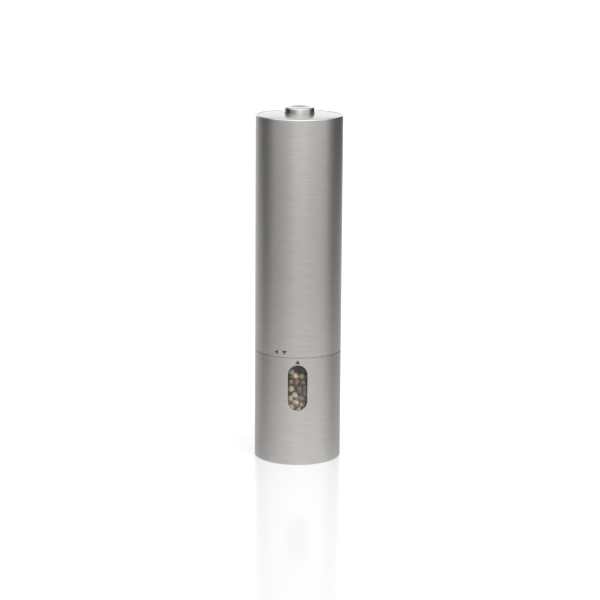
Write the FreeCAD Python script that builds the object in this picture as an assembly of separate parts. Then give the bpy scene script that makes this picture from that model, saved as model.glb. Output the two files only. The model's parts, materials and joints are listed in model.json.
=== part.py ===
import FreeCAD
import Part
import math
import os

# Electric pepper mill in millimetres.
# The origin is the centre of the base, +Z is up and the window faces -Y.
# The lower unit holds the jar and the grinder.
# The upper unit holds the cells, motor, gearbox and push button.

# Body
BODY_D = 50.0
LOWER_H = 63.5
UPPER_H = 136.5
SLEEVE_WALL = 0.8
SEAM_GAP = 0.4
EDGE_ROUND = 0.25
TOP_RIM_ROUND = 0.6

# Window in the lower sleeve
WINDOW_W = 11.2
WINDOW_H = 26.8
WINDOW_DROP = 4.3

# Clearances
SLIP = 0.15
PRESS_GAP = 0.02
RUN_GAP = 0.05
FREE_GAP = 0.3

# Top plate and push button
PLATE_T = 0.8
PLATE_RISE = 1.0
PLATE_SKIRT_H = 6.0
PLATE_ROUND = 0.4
BUTTON_D = 17.0
BUTTON_PROUD = 3.5
BUTTON_TRAVEL = 2.5
BUTTON_DISH = 0.7
BUTTON_RIM = 0.7
BUTTON_ROUND = 0.3
BUTTON_WALL = 1.0
BUTTON_FLANGE_W = 1.2
BUTTON_FLANGE_T = 1.0
STEM_D = 5.0
STEM_PIN_D = 2.4
STEM_PIN_H = 1.4
GUIDE_WALL = 1.8
GUIDE_H = 7.5
GUIDE_LEDGE_T = 1.2
GUIDE_LEDGE_W = 4.0
BUTTON_WIRE_D = 0.6
BUTTON_COIL_TURNS = 3.0

# Jar, collar and bayonet
JAR_WALL = 1.6
JAR_PLUG_H = 3.5
COLLAR_FLANGE_T = 1.8
COLLAR_PLUG_H = 3.0
COLLAR_WALL = 2.2
SPIGOT_H = 9.0
LUG_COUNT = 3
LUG_T = 1.1
LUG_H = 2.0
LUG_RISE = 4.2
LUG_WIDTH_DEG = 14.0
LUG_GAP_DEG = 1.0
LUG_AT_DEG = 90.0
TWIST_DEG = 18.0
GUIDE_RING_T = 4.0
GUIDE_RING_W = 2.0
GUIDE_ARM_W = 3.6
GUIDE_HUB_WALL = 2.3

# Grinder
BASE_LIFT = 1.0
OUTLET_D = 29.0
OUTLET_H = 7.0
BURR_D = 32.0
BURR_H = 12.0
BURR_TOP_BORE_D = 24.6
BURR_WAIST_H = 4.0
GRIND_GAP = 0.5
BURR_GROOVES = 28
BURR_GROOVE_DEPTH = 0.8
BURR_KEY_DEPTH = 0.9
BURR_KEY_DEG = 9.0
ROTOR_TOP_D = 14.5
ROTOR_FOOT_D = 26.4
ROTOR_GROOVES = 16
ROTOR_GROOVE_DEPTH = 1.2
ROTOR_TWIST_DEG = 24.0
ROTOR_HUB_WALL = 1.3
RETAINER_H = 6.0
RETAINER_D = 41.0
RETAINER_LIP = 1.0
CARRIER_FLANGE_T = 2.2
CARRIER_FLANGE_D = 20.0
CARRIER_CROWN_T = 2.0
SHAFT_SIDE = 5.0
SHAFT_CHAMFER = 0.4
THREAD_D = 4.9
KNOB_D = 17.0
KNOB_H = 4.2
KNOB_SCALLOPS = 12
KNOB_SCALLOP_D = 2.6
KNOB_GAP = 0.2
ADJUST_TRAVEL = 0.6
NUT_AF = 8.0
NUT_H = 2.6
BURR_WIRE_D = 0.8
BURR_COIL_GAP = 0.5
BURR_COIL_TURNS = 5.0
BURR_COIL_H = 9.0
SEAT_T = 1.2
SEAT_RIM = 0.5
RING_T = 0.8
RING_NOTCH = 0.5
PEPPER_ULLAGE = 8.1
PEPPER_HEAP = 1.6
PEPPER_CLEAR = 1.5

# Gearbox
GEAR_MODULE = 0.7
PRESSURE_DEG = 20.0
SUN_TEETH = 12
PLANET_TEETH = 18
RING_TEETH = SUN_TEETH + 2 * PLANET_TEETH
PLANET_COUNT = 3
ADDENDUM = 0.8
DEDENDUM = 1.05
TOOTH_SLACK = 0.12
GEAR_GAP = 0.3
PLANET_W_LOW = 6.0
PLANET_W_HIGH = 5.0
PIN_D = 2.4
CARRIER_T = 2.5
CARRIER_RIM = 3.2
RING_RIM = 2.4
FLOOR_T = 3.0
OUTPUT_HUB_WALL = 1.4
BUSH_WALL = 1.8
BUSH_COLLAR_W = 2.0
BUSH_COLLAR_T = 0.8
SOCKET_DEPTH = 7.0

# Motor
MOTOR_D = 23.8
MOTOR_FLATS = 18.2
MOTOR_CAN_H = 23.0
MOTOR_CAN_WALL = 0.9
MOTOR_BELL_H = 3.7
MOTOR_SHAFT_D = 2.0
MOTOR_BOSS_D = 6.0
MOTOR_BOSS_H = 1.7
MAGNET_T = 2.4
MAGNET_H = 16.0
MAGNET_SPAN_DEG = 88.0
ARMATURE_D = 14.0
ARMATURE_H = 10.0
ARMATURE_SLOTS = 3
ARMATURE_SLOT_W = 3.0
ARMATURE_CORE_D = 6.0
COMMUTATOR_D = 5.0
COMMUTATOR_H = 4.0
TERMINAL_W = 2.4
TERMINAL_T = 0.5
TERMINAL_H = 2.7
TERMINAL_Y = 8.5
MOTOR_PLATE_T = 3.5
MOTOR_PLATE_RIM_H = 2.0
COVER_WALL = 2.0
COVER_LID_T = 2.0
COVER_HEADROOM = 0.6

# Cells, holder and contacts
CELL_D = 14.5
CELL_H = 50.5
CELL_NUB_D = 5.5
CELL_NUB_H = 1.3
CELL_GAP = 1.0
HOLDER_DISC_T = 2.0
HOLDER_WALL = 2.0
HOLDER_WALL_DEG = 76.0
HOLDER_COLUMN_D = 5.6
CONTACT_H = 2.4
STRIP_T = 0.4
STRIP_W = 6.0
PAD_D = 5.2
CONTACT_WIRE_D = 0.45
CONTACT_COIL_D = 7.2
CONTACT_TIP_D = 4.0
CONTACT_TURNS = 2.0
SWITCH_SIDE = 8.0
SWITCH_H = 4.5
SWITCH_TERMINAL_L = 1.8
LEAD_D = 1.3
LEAD_BEND_R = 3.0
LEAD_NOTCH_W = 3.0
LEAD_INSET = 2.2
SWITCH_LEG_D = 0.8
SWITCH_LEG_XY = 3.4

# Screws, each thread drawn as a plain shank
SCREW_D = 1.9
SCREW_HEAD_D = 3.2
SCREW_HEAD_H = 1.2
RETAINER_SCREW_L = 6.0
PLATE_SCREW_L = 8.0
MOTOR_SCREW_L = 4.4
MOTOR_SCREW_SPACING = 16.0
HOLDER_SCREW_L = 3.6

# Heights and radii that follow from the body
SEAM_Z = LOWER_H
BODY_H = LOWER_H + UPPER_H
BODY_R = BODY_D / 2
SLEEVE_IN_R = BODY_R - SLEEVE_WALL
INNER_R = SLEEVE_IN_R - SLIP
JAR_IN_R = INNER_R - JAR_WALL
JAR_PLUG_R = JAR_IN_R - SLIP
SPIGOT_R = JAR_PLUG_R - FREE_GAP
COLLAR_IN_R = SPIGOT_R - COLLAR_WALL
SKIRT_IN_R = SPIGOT_R + FREE_GAP
LUG_R = SPIGOT_R + LUG_T
SLOT_R = LUG_R + FREE_GAP
SHAFT_CORNER_R = SHAFT_SIDE / math.sqrt(2)
GUIDE_BORE_R = SHAFT_CORNER_R + SLIP
SOCKET_CORNER_R = SHAFT_CORNER_R + SLIP * math.sqrt(2)
ROTOR_HEX_AF = 2 * (SOCKET_CORNER_R + ROTOR_HUB_WALL)
BURR_COIL_R = SHAFT_CORNER_R + BURR_COIL_GAP + BURR_WIRE_D / 2
SEAT_R = BURR_COIL_R + BURR_WIRE_D / 2 + SEAT_RIM
OUTPUT_HUB_R = SOCKET_CORNER_R + OUTPUT_HUB_WALL
BUSH_R = OUTPUT_HUB_R + RUN_GAP + BUSH_WALL
RING_PITCH_R = GEAR_MODULE * RING_TEETH / 2
RING_ROOT_R = RING_PITCH_R + DEDENDUM * GEAR_MODULE
RING_OUT_R = RING_ROOT_R + RING_RIM
PLANET_ORBIT_R = GEAR_MODULE * (SUN_TEETH + PLANET_TEETH) / 2
CARRIER_R = PLANET_ORBIT_R + CARRIER_RIM
HOUSING_BORE_R = RING_OUT_R + SLIP
PLATE_SCREW_R = (HOUSING_BORE_R + INNER_R) / 2
COVER_R = INNER_R - SLIP
COVER_IN_R = COVER_R - COVER_WALL
LEAD_R = COVER_IN_R - LEAD_INSET
HOLDER_R = COVER_R
CELL_XY = (CELL_D + CELL_GAP) / 2
HOLDER_SCREW_X = HOLDER_R - HOLDER_WALL - SCREW_HEAD_D - FREE_GAP
BUTTON_R = BUTTON_D / 2
BUTTON_HOLE_R = BUTTON_R + FREE_GAP
BUTTON_FLANGE_R = BUTTON_HOLE_R + BUTTON_FLANGE_W
GUIDE_IN_R = BUTTON_FLANGE_R + FREE_GAP
GUIDE_OUT_R = GUIDE_IN_R + GUIDE_WALL
PLATE_R = SLEEVE_IN_R - PRESS_GAP
DOME_R = (PLATE_R**2 - BUTTON_HOLE_R**2) / (2 * PLATE_RISE)

# Heights of the lower unit, from the table up
LOWER_TOP = SEAM_Z - SEAM_GAP / 2
UPPER_FOOT = SEAM_Z + SEAM_GAP / 2
WINDOW_Z = SEAM_Z - WINDOW_DROP - WINDOW_H
BURR_Z = BASE_LIFT + OUTLET_H
BURR_TOP = BURR_Z + BURR_H
JAR_Z = BURR_TOP + RETAINER_H
JAR_TOP = LOWER_TOP - COLLAR_FLANGE_T
SPIGOT_TOP = LOWER_TOP + SPIGOT_H
LUG_Z = LOWER_TOP + LUG_RISE
KNOB_Z = BASE_LIFT + FREE_GAP
KNOB_TOP = KNOB_Z + KNOB_H
CARRIER_Z = KNOB_TOP + KNOB_GAP
ROTOR_Z = CARRIER_Z + CARRIER_FLANGE_T
ROTOR_TOP = BURR_TOP + FREE_GAP
CROWN_TOP = ROTOR_TOP + CARRIER_CROWN_T
COIL_TOP = CROWN_TOP + BURR_COIL_H
SEAT_TOP = COIL_TOP + SEAT_T
GUIDE_RING_Z = LOWER_TOP - GUIDE_RING_T / 2

# Heights of the upper unit, from the seam up
SKIRT_FOOT = LOWER_TOP + FREE_GAP
FLOOR_Z = SPIGOT_TOP + FREE_GAP
FLOOR_TOP = FLOOR_Z + FLOOR_T
OUTPUT_Z = FLOOR_TOP + BUSH_COLLAR_T + GEAR_GAP
OUTPUT_TOP = OUTPUT_Z + CARRIER_T
LOW_PLANET_Z = OUTPUT_TOP + GEAR_GAP
LOW_PLANET_TOP = LOW_PLANET_Z + PLANET_W_LOW
FIRST_Z = LOW_PLANET_TOP + GEAR_GAP
FIRST_TOP = FIRST_Z + CARRIER_T
HIGH_PLANET_Z = FIRST_TOP + GEAR_GAP
HIGH_PLANET_TOP = HIGH_PLANET_Z + PLANET_W_HIGH
RING_Z = OUTPUT_TOP
RING_TOP = HIGH_PLANET_TOP + GEAR_GAP
PLATE_Z = RING_TOP + MOTOR_PLATE_RIM_H
MOTOR_Z = PLATE_Z + MOTOR_PLATE_T
MOTOR_CAN_TOP = MOTOR_Z + MOTOR_CAN_H
MOTOR_TOP = MOTOR_CAN_TOP + MOTOR_BELL_H
TERMINAL_TOP = MOTOR_TOP + TERMINAL_H
LID_Z = TERMINAL_TOP + COVER_HEADROOM
HOLDER_Z = LID_Z + COVER_LID_T
CONTACT_Z = HOLDER_Z + HOLDER_DISC_T
CELL_Z = CONTACT_Z + CONTACT_H
CELL_TOP = CELL_Z + CELL_H
CONTACT_TOP = CELL_TOP + CONTACT_H
HOLDER_TOP = CONTACT_TOP + HOLDER_DISC_T
SWITCH_TOP = HOLDER_TOP + SWITCH_H
LEAD_TOP_Z = HOLDER_TOP + LEAD_D / 2 + RUN_GAP
SOCKET_Z = OUTPUT_Z - SOCKET_DEPTH
SHAFT_TOP = OUTPUT_Z - GEAR_GAP

# Phases and places that repeat
ORBIT_DEG = [360.0 * i / PLANET_COUNT for i in range(PLANET_COUNT)]
LUG_DEG = [LUG_AT_DEG + 360.0 * i / LUG_COUNT for i in range(LUG_COUNT)]
SCREW_DEG = [30.0, 150.0, 270.0]
CELLS = [(1, 1, True), (-1, 1, False), (-1, -1, True), (1, -1, False)]
CENTRE = FreeCAD.Vector(0, 0, 0)
UP = FreeCAD.Vector(0, 0, 1)


def polar(radius, degrees, z=0.0):
    """A point at a radius and an angle about the mill's axis."""
    angle = math.radians(degrees)
    return FreeCAD.Vector(radius * math.cos(angle), radius * math.sin(angle), z)


def disc(radius, z0, z1, at=CENTRE):
    """A solid cylinder between two heights, its axis through the point given."""
    return Part.makeCylinder(radius, z1 - z0, FreeCAD.Vector(at.x, at.y, z0))


def tube(r_out, r_in, z0, z1):
    """A round tube about the mill's axis."""
    return disc(r_out, z0, z1).cut(disc(r_in, z0, z1))


def block(width, depth, z0, z1, at=CENTRE):
    """A box between two heights, centred on the point given."""
    corner = FreeCAD.Vector(at.x - width / 2, at.y - depth / 2, z0)
    return Part.makeBox(width, depth, z1 - z0, corner)


def prism(sides, across_flats, z0, z1):
    """A regular prism about the mill's axis, such as a hexagon."""
    corner_r = across_flats / 2 / math.cos(math.pi / sides)
    corners = [polar(corner_r, 360.0 * (i + 0.5) / sides, z0) for i in range(sides)]
    face = Part.Face(Part.makePolygon(corners + corners[:1]))
    return face.extrude(UP * (z1 - z0))


def sector(r_in, r_out, z0, z1, middle_deg, width_deg):
    """A piece of a round tube, spread evenly about an angle."""
    corners = [(r_in, z0), (r_out, z0), (r_out, z1), (r_in, z1)]
    points = [FreeCAD.Vector(r, 0, z) for r, z in corners]
    face = Part.Face(Part.makePolygon(points + points[:1]))
    face.rotate(CENTRE, UP, middle_deg - width_deg / 2)
    return face.revolve(CENTRE, UP, width_deg)


def turned(start, *moves):
    """A solid of revolution from its half section in (radius, height).

    A move is a point, reached by a line, or a pair of points, the middle and the end of an arc.
    """
    def place(point):
        return FreeCAD.Vector(point[0], 0, point[1])

    edges = []
    here = start
    for move in [*moves, start]:
        if isinstance(move[0], tuple):
            middle, end = move
            edges.append(Part.Arc(place(here), place(middle), place(end)).toShape())
        else:
            end = move
            edges.append(Part.LineSegment(place(here), place(end)).toShape())
        here = end
    return Part.Face(Part.Wire(edges)).revolve(CENTRE, UP, 360)


def rounded(solid, radius, *circles):
    """The solid with a fillet on each of its circular edges named by (radius, height)."""
    picked = []
    for edge in solid.Edges:
        if edge.Degenerated or not isinstance(edge.Curve, Part.Circle):
            continue
        curve = edge.Curve
        for circle_r, z in circles:
            if abs(curve.Radius - circle_r) < 1e-4 and abs(curve.Center.z - z) < 1e-4:
                picked.append(edge)
    return solid.makeFillet(radius, picked)


def dome_z(radius, drop=0.0):
    """The height of the domed top plate at a radius, or of its underside with a drop."""
    edge = DOME_R - math.sqrt(DOME_R**2 - PLATE_R**2)
    here = DOME_R - math.sqrt(DOME_R**2 - radius**2)
    return BODY_H - SLIP + edge - here - drop


def gear_wire(teeth, addendum, dedendum, thickness, phase_deg):
    """The outline of an involute gear with one tooth centred on the phase angle."""
    pitch_r = GEAR_MODULE * teeth / 2
    base_r = pitch_r * math.cos(math.radians(PRESSURE_DEG))
    tip_r = pitch_r + addendum
    root_r = pitch_r - dedendum
    foot_r = max(base_r, root_r)

    def involute(radius):
        turn = math.acos(min(1.0, base_r / radius))
        return math.tan(turn) - turn

    def half_angle(radius):
        return math.degrees(thickness / 2 / pitch_r + involute(pitch_r) - involute(radius))

    def flank(middle, side):
        radii = [foot_r, (foot_r + tip_r) / 2, tip_r]
        return [polar(r, middle + side * half_angle(r)) for r in radii]

    pitch_deg = 360.0 / teeth
    edges = []
    for tooth in range(teeth):
        middle = phase_deg + tooth * pitch_deg
        rising = flank(middle, -1)
        falling = flank(middle, 1)
        root_in = polar(root_r, middle - half_angle(foot_r))
        root_out = polar(root_r, middle + half_angle(foot_r))
        next_root = polar(root_r, middle + pitch_deg - half_angle(foot_r))
        gap_middle = polar(root_r, middle + pitch_deg / 2)
        if root_r < foot_r:
            edges.append(Part.LineSegment(root_in, rising[0]).toShape())
        edges.append(Part.Arc(*rising).toShape())
        edges.append(Part.Arc(rising[2], polar(tip_r, middle), falling[2]).toShape())
        edges.append(Part.Arc(falling[2], falling[1], falling[0]).toShape())
        if root_r < foot_r:
            edges.append(Part.LineSegment(falling[0], root_out).toShape())
        edges.append(Part.Arc(root_out, gap_middle, next_root).toShape())
    return Part.Wire(edges)


def spur_gear(teeth, z0, z1, phase_deg=0.0):
    """A solid external gear between two heights, about the mill's axis."""
    thickness = math.pi * GEAR_MODULE / 2 - TOOTH_SLACK
    wire = gear_wire(teeth, ADDENDUM * GEAR_MODULE, DEDENDUM * GEAR_MODULE, thickness, phase_deg)
    wire.translate(UP * z0)
    return Part.Face(wire).extrude(UP * (z1 - z0))


def planet_gear(orbit_deg, z0, z1):
    """A planet in mesh with a sun and a ring that each have a tooth on the +X axis."""
    phase = orbit_deg - 180.0 / PLANET_TEETH - orbit_deg * RING_TEETH / PLANET_TEETH
    gear = spur_gear(PLANET_TEETH, z0, z1, phase)
    gear = gear.cut(disc(PIN_D / 2 + RUN_GAP, z0, z1))
    gear.translate(polar(PLANET_ORBIT_R, orbit_deg))
    return gear


def biarc(start, leaving, end, arriving):
    """Two arcs that join two points with the directions given at each."""
    span = end - start
    turn = leaving + arriving
    a = turn.dot(turn) - 4.0
    b = -2.0 * span.dot(turn)
    c = span.dot(span)
    reach = (-b - math.sqrt(b * b - 4 * a * c)) / (2 * a)
    first = start + leaving * reach
    second = end - arriving * reach
    joint = (first + second) * 0.5

    def arc(here, control, there):
        weight = math.cos((control - here).getAngle(there - here))
        middle = (here + control * (2 * weight) + there) * (1 / (2 + 2 * weight))
        return Part.Arc(here, middle, there).toShape()

    return [arc(start, first, joint), arc(joint, second, end)]


def coil(r_foot, r_tip, z0, z1, turns, wire_d, name):
    """A coil spring as one unbroken wire, cylindrical or tapering, between two heights."""
    steps = round(2 * turns)
    rise = z1 - z0 - wire_d

    def spot(share):
        radius = r_foot + (r_tip - r_foot) * share
        return polar(radius, 360.0 * turns * share, z0 + wire_d / 2 + rise * share)

    def heading(share):
        angle = 2 * math.pi * turns * share
        radius = r_foot + (r_tip - r_foot) * share
        out = (r_tip - r_foot) / (2 * math.pi * turns)
        way = FreeCAD.Vector(
            out * math.cos(angle) - radius * math.sin(angle),
            out * math.sin(angle) + radius * math.cos(angle),
            rise / (2 * math.pi * turns),
        )
        return way.normalize()

    edges = []
    for step in range(steps):
        here, there = step / steps, (step + 1) / steps
        edges += biarc(spot(here), heading(here), spot(there), heading(there))
    ring = Part.Wire(Part.makeCircle(wire_d / 2, spot(0), heading(0)))
    between = math.hypot(rise / turns, (r_tip - r_foot) / turns)
    print(name, "least gap between turns", round(between - wire_d, 2))
    return Part.Wire(edges).makePipeShell([ring], True, False)


def fluted_core(stations, depth, count, twist_deg):
    """A grooved core through (height, radius) stations, turned by a twist from foot to top."""
    foot_z, top_z = stations[0][0], stations[-1][0]

    def star(z, radius):
        corners = []
        turn = twist_deg * (z - foot_z) / (top_z - foot_z)
        for groove in range(count):
            at = 360.0 * groove / count + turn
            corners.append(polar(radius, at, z))
            corners.append(polar(radius, at + 180.0 / count, z))
            corners.append(polar(radius - depth, at + 270.0 / count, z))
        return Part.makePolygon(corners + corners[:1])

    return Part.makeLoft([star(z, radius) for z, radius in stations], True, True)


def pan_screw(x, y, seat_z, length, way):
    """A pan head screw with its head on a seat, its shank running up or down from there."""
    at = FreeCAD.Vector(x, y, 0)
    shank_end = seat_z + way * length
    head_end = seat_z - way * SCREW_HEAD_H
    shank = disc(SCREW_D / 2, min(seat_z, shank_end), max(seat_z, shank_end), at)
    head = disc(SCREW_HEAD_D / 2, min(seat_z, head_end), max(seat_z, head_end), at)
    return shank.fuse(head).removeSplitter()


def screw_hole(at, z0, z1):
    """The hole that a screw's shank passes through."""
    return disc(SCREW_D / 2 + RUN_GAP, z0, z1, at)


def group(solids):
    """Separate solids kept together in one node."""
    return Part.makeCompound(solids)


def stadium(width, height, z0, y0, y1):
    """A slot with round ends, upright in XZ, cut along Y."""
    half = width / 2
    top, foot = z0 + height - half, z0 + half

    def at(x, z):
        return FreeCAD.Vector(x, y0, z)

    edges = [
        Part.LineSegment(at(half, foot), at(half, top)).toShape(),
        Part.Arc(at(half, top), at(0, top + half), at(-half, top)).toShape(),
        Part.LineSegment(at(-half, top), at(-half, foot)).toShape(),
        Part.Arc(at(-half, foot), at(0, foot - half), at(half, foot)).toShape(),
    ]
    return Part.Face(Part.Wire(edges)).extrude(FreeCAD.Vector(0, y1 - y0, 0))


# Lower unit: sleeve, jar and collar


def lower_sleeve():
    sleeve = tube(BODY_R, SLEEVE_IN_R, 0, LOWER_TOP)
    sleeve = rounded(sleeve, EDGE_ROUND, (BODY_R, 0), (BODY_R, LOWER_TOP))
    return sleeve.cut(stadium(WINDOW_W, WINDOW_H, WINDOW_Z, -BODY_D, -BODY_R / 2))


def pepper_jar():
    return tube(INNER_R, JAR_IN_R, JAR_Z, JAR_TOP)


def jar_collar():
    ring = turned(
        (COLLAR_IN_R, JAR_TOP - COLLAR_PLUG_H),
        (JAR_PLUG_R, JAR_TOP - COLLAR_PLUG_H),
        (JAR_PLUG_R, JAR_TOP),
        (INNER_R, JAR_TOP),
        (INNER_R, LOWER_TOP),
        (SPIGOT_R, LOWER_TOP),
        (SPIGOT_R, SPIGOT_TOP),
        (COLLAR_IN_R, SPIGOT_TOP),
    )
    lugs = [
        sector(SPIGOT_R - LUG_T, LUG_R, LUG_Z, LUG_Z + LUG_H, middle, LUG_WIDTH_DEG) for middle in LUG_DEG
    ]
    seat = disc(COLLAR_IN_R + GUIDE_RING_W / 2, GUIDE_RING_Z, SPIGOT_TOP)
    return ring.fuse(lugs).cut(seat).removeSplitter()


def shaft_guide():
    out_r = COLLAR_IN_R + GUIDE_RING_W / 2 - SLIP
    top = GUIDE_RING_Z + GUIDE_RING_T
    ring = tube(out_r, out_r - GUIDE_RING_W, GUIDE_RING_Z, top)
    arms = []
    for middle in LUG_DEG:
        arm = block(out_r - GUIDE_RING_W / 2, GUIDE_ARM_W, GUIDE_RING_Z, top)
        arm.translate(FreeCAD.Vector((out_r - GUIDE_RING_W / 2) / 2, 0, 0))
        arm.rotate(CENTRE, UP, middle)
        arms.append(arm)
    spider = ring.fuse([*arms, disc(GUIDE_BORE_R + GUIDE_HUB_WALL, GUIDE_RING_Z, top)])
    return spider.cut(disc(GUIDE_BORE_R, GUIDE_RING_Z, top)).removeSplitter()


def peppercorns():
    clear_r = SEAT_R + PEPPER_CLEAR
    foot = JAR_Z + JAR_PLUG_H + FREE_GAP
    top = JAR_TOP - PEPPER_ULLAGE
    out_r = JAR_IN_R - FREE_GAP
    heap = ((clear_r + out_r) / 2, top + PEPPER_HEAP)
    return turned((clear_r, foot), (out_r, foot), (out_r, top), (heap, (clear_r, top)))


# Lower unit: grinder


def grinder_base():
    base = turned(
        (OUTLET_D / 2, BASE_LIFT),
        (INNER_R, BASE_LIFT),
        (INNER_R, JAR_Z),
        (JAR_PLUG_R, JAR_Z),
        (JAR_PLUG_R, JAR_Z + JAR_PLUG_H),
        (RETAINER_D / 2 + SLIP, JAR_Z + JAR_PLUG_H),
        (RETAINER_D / 2 + SLIP, BURR_TOP),
        (BURR_D / 2 + SLIP, BURR_TOP),
        (BURR_D / 2 + SLIP, BURR_Z),
        (OUTLET_D / 2, BURR_Z),
    )
    holes = [screw_hole(at, BURR_TOP - RETAINER_SCREW_L, BURR_TOP) for at in retainer_screw_places()]
    return base.cut(holes).fuse(burr_keys(0.0)).removeSplitter()


def burr_keys(room):
    """The ribs of the burr seat, or with room around them the notches that they fit."""
    inner_r = BURR_D / 2 - BURR_KEY_DEPTH - room
    outer_r = BURR_D / 2 + 2 * SLIP
    width = BURR_KEY_DEG + 2 * math.degrees(room / inner_r)
    return [sector(inner_r, outer_r, BURR_Z, BURR_TOP, middle, width) for middle in LUG_DEG]


def retainer_screw_places():
    radius = RETAINER_D / 2 - RETAINER_LIP - SCREW_HEAD_D / 2
    return [polar(radius, middle) for middle in SCREW_DEG]


def burr_retainer():
    throat_r = BURR_TOP_BORE_D / 2 + BURR_GROOVE_DEPTH
    ring = turned(
        (throat_r, BURR_TOP),
        (RETAINER_D / 2, BURR_TOP),
        (RETAINER_D / 2, JAR_Z),
        (RETAINER_D / 2 - RETAINER_LIP, JAR_Z),
    )
    seat = BURR_TOP + SCREW_HEAD_H
    cuts = [screw_hole(at, BURR_TOP, JAR_Z) for at in retainer_screw_places()]
    cuts += [disc(SCREW_HEAD_D / 2 + SLIP, seat, JAR_Z, at) for at in retainer_screw_places()]
    return ring.cut(cuts)


def retainer_screws():
    seat = BURR_TOP + SCREW_HEAD_H
    length = RETAINER_SCREW_L
    return group([pan_screw(at.x, at.y, seat, length, -1) for at in retainer_screw_places()])


def rotor_r(z):
    """The inner burr's radius over its lands at a height."""
    share = (z - ROTOR_Z) / (ROTOR_TOP - ROTOR_Z)
    return (ROTOR_FOOT_D + (ROTOR_TOP_D - ROTOR_FOOT_D) * share) / 2


def outer_burr():
    """The fixed burr, which keeps the grinding gap at its foot and opens towards its top."""
    ring = disc(BURR_D / 2, BURR_Z, BURR_TOP)
    waist_z = BURR_Z + BURR_WAIST_H
    bore = fluted_core(
        [
            (BURR_Z, rotor_r(BURR_Z) + GRIND_GAP + BURR_GROOVE_DEPTH),
            (waist_z, rotor_r(waist_z) + GRIND_GAP + BURR_GROOVE_DEPTH),
            (BURR_TOP, BURR_TOP_BORE_D / 2 + BURR_GROOVE_DEPTH),
        ],
        BURR_GROOVE_DEPTH,
        BURR_GROOVES,
        0.0,
    )
    return ring.cut([bore, *burr_keys(SLIP)])


def inner_burr():
    stations = [(ROTOR_Z, ROTOR_FOOT_D / 2), (ROTOR_TOP, ROTOR_TOP_D / 2)]
    cone = fluted_core(stations, ROTOR_GROOVE_DEPTH, ROTOR_GROOVES, ROTOR_TWIST_DEG)
    return cone.cut(prism(6, ROTOR_HEX_AF + 2 * SLIP, ROTOR_Z, ROTOR_TOP))


def burr_carrier():
    flange = disc(CARRIER_FLANGE_D / 2, CARRIER_Z, ROTOR_Z)
    stem = prism(6, ROTOR_HEX_AF, ROTOR_Z, CROWN_TOP)
    bore = prism(4, SHAFT_SIDE + 2 * SLIP, CARRIER_Z, CROWN_TOP)
    return flange.fuse(stem).cut(bore).removeSplitter()


def drive_shaft():
    square_foot = KNOB_TOP + ADJUST_TRAVEL + FREE_GAP
    bar = prism(4, SHAFT_SIDE, square_foot, SHAFT_TOP)
    uprights = [e for e in bar.Edges if abs(e.Length - (SHAFT_TOP - square_foot)) < 1e-4]
    bar = bar.makeChamfer(SHAFT_CHAMFER, uprights)
    notch = tube(SHAFT_SIDE, ring_groove_r(), SEAT_TOP, SEAT_TOP + RING_T)
    return bar.cut(notch).fuse(disc(THREAD_D / 2, KNOB_Z + KNOB_GAP, square_foot)).removeSplitter()


def ring_groove_r():
    return SHAFT_CORNER_R - RING_NOTCH


def burr_spring():
    return coil(BURR_COIL_R, BURR_COIL_R, CROWN_TOP, COIL_TOP, BURR_COIL_TURNS, BURR_WIRE_D, "burr_spring")


def spring_seat():
    washer = disc(SEAT_R, COIL_TOP, SEAT_TOP)
    return washer.cut(prism(4, SHAFT_SIDE + 2 * PRESS_GAP, COIL_TOP, SEAT_TOP))


def retaining_ring():
    ring = tube(SEAT_R - SEAT_RIM, ring_groove_r() + PRESS_GAP, SEAT_TOP, SEAT_TOP + RING_T)
    mouth = block(2 * SEAT_R, 2 * RING_NOTCH, SEAT_TOP, SEAT_TOP + RING_T, FreeCAD.Vector(SEAT_R, 0, 0))
    return ring.cut(mouth)


def adjuster_knob():
    knob = disc(KNOB_D / 2, KNOB_Z, KNOB_TOP)
    scallops = []
    for i in range(KNOB_SCALLOPS):
        at = polar(KNOB_D / 2, 360.0 * i / KNOB_SCALLOPS)
        scallops.append(disc(KNOB_SCALLOP_D / 2, KNOB_Z, KNOB_TOP, at))
    pocket = prism(6, NUT_AF + 2 * PRESS_GAP, KNOB_TOP - NUT_H, KNOB_TOP)
    return knob.cut([*scallops, pocket, disc(THREAD_D / 2 + SLIP, KNOB_Z, KNOB_TOP)])


def adjuster_nut():
    nut = prism(6, NUT_AF, KNOB_TOP - NUT_H, KNOB_TOP)
    return nut.cut(disc(THREAD_D / 2 + RUN_GAP, KNOB_TOP - NUT_H, KNOB_TOP))


# Upper unit: gearbox


def drive_housing():
    shell = turned(
        (SKIRT_IN_R, SKIRT_FOOT),
        (INNER_R, SKIRT_FOOT),
        (INNER_R, PLATE_Z),
        (HOUSING_BORE_R, PLATE_Z),
        (HOUSING_BORE_R, RING_Z),
        (CARRIER_R + FREE_GAP, RING_Z),
        (CARRIER_R + FREE_GAP, FLOOR_TOP),
        (BUSH_R + PRESS_GAP, FLOOR_TOP),
        (BUSH_R + PRESS_GAP, FLOOR_Z),
        (SKIRT_IN_R, FLOOR_Z),
    )
    slot_z = LUG_Z - FREE_GAP
    slot_top = LUG_Z + LUG_H + FREE_GAP
    wide = LUG_WIDTH_DEG + 2 * LUG_GAP_DEG
    cuts = []
    for middle in LUG_DEG:
        entry = middle - TWIST_DEG
        cuts.append(sector(SPIGOT_R, SLOT_R, SKIRT_FOOT, slot_top, entry, wide))
        cuts.append(sector(SPIGOT_R, SLOT_R, slot_z, slot_top, (entry + middle) / 2, wide + TWIST_DEG))
    cuts += [screw_hole(at, PLATE_Z - PLATE_SCREW_L, PLATE_Z) for at in plate_screw_places()]
    return shell.cut(cuts)


def plate_screw_places():
    return [polar(PLATE_SCREW_R, middle) for middle in SCREW_DEG]


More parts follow.
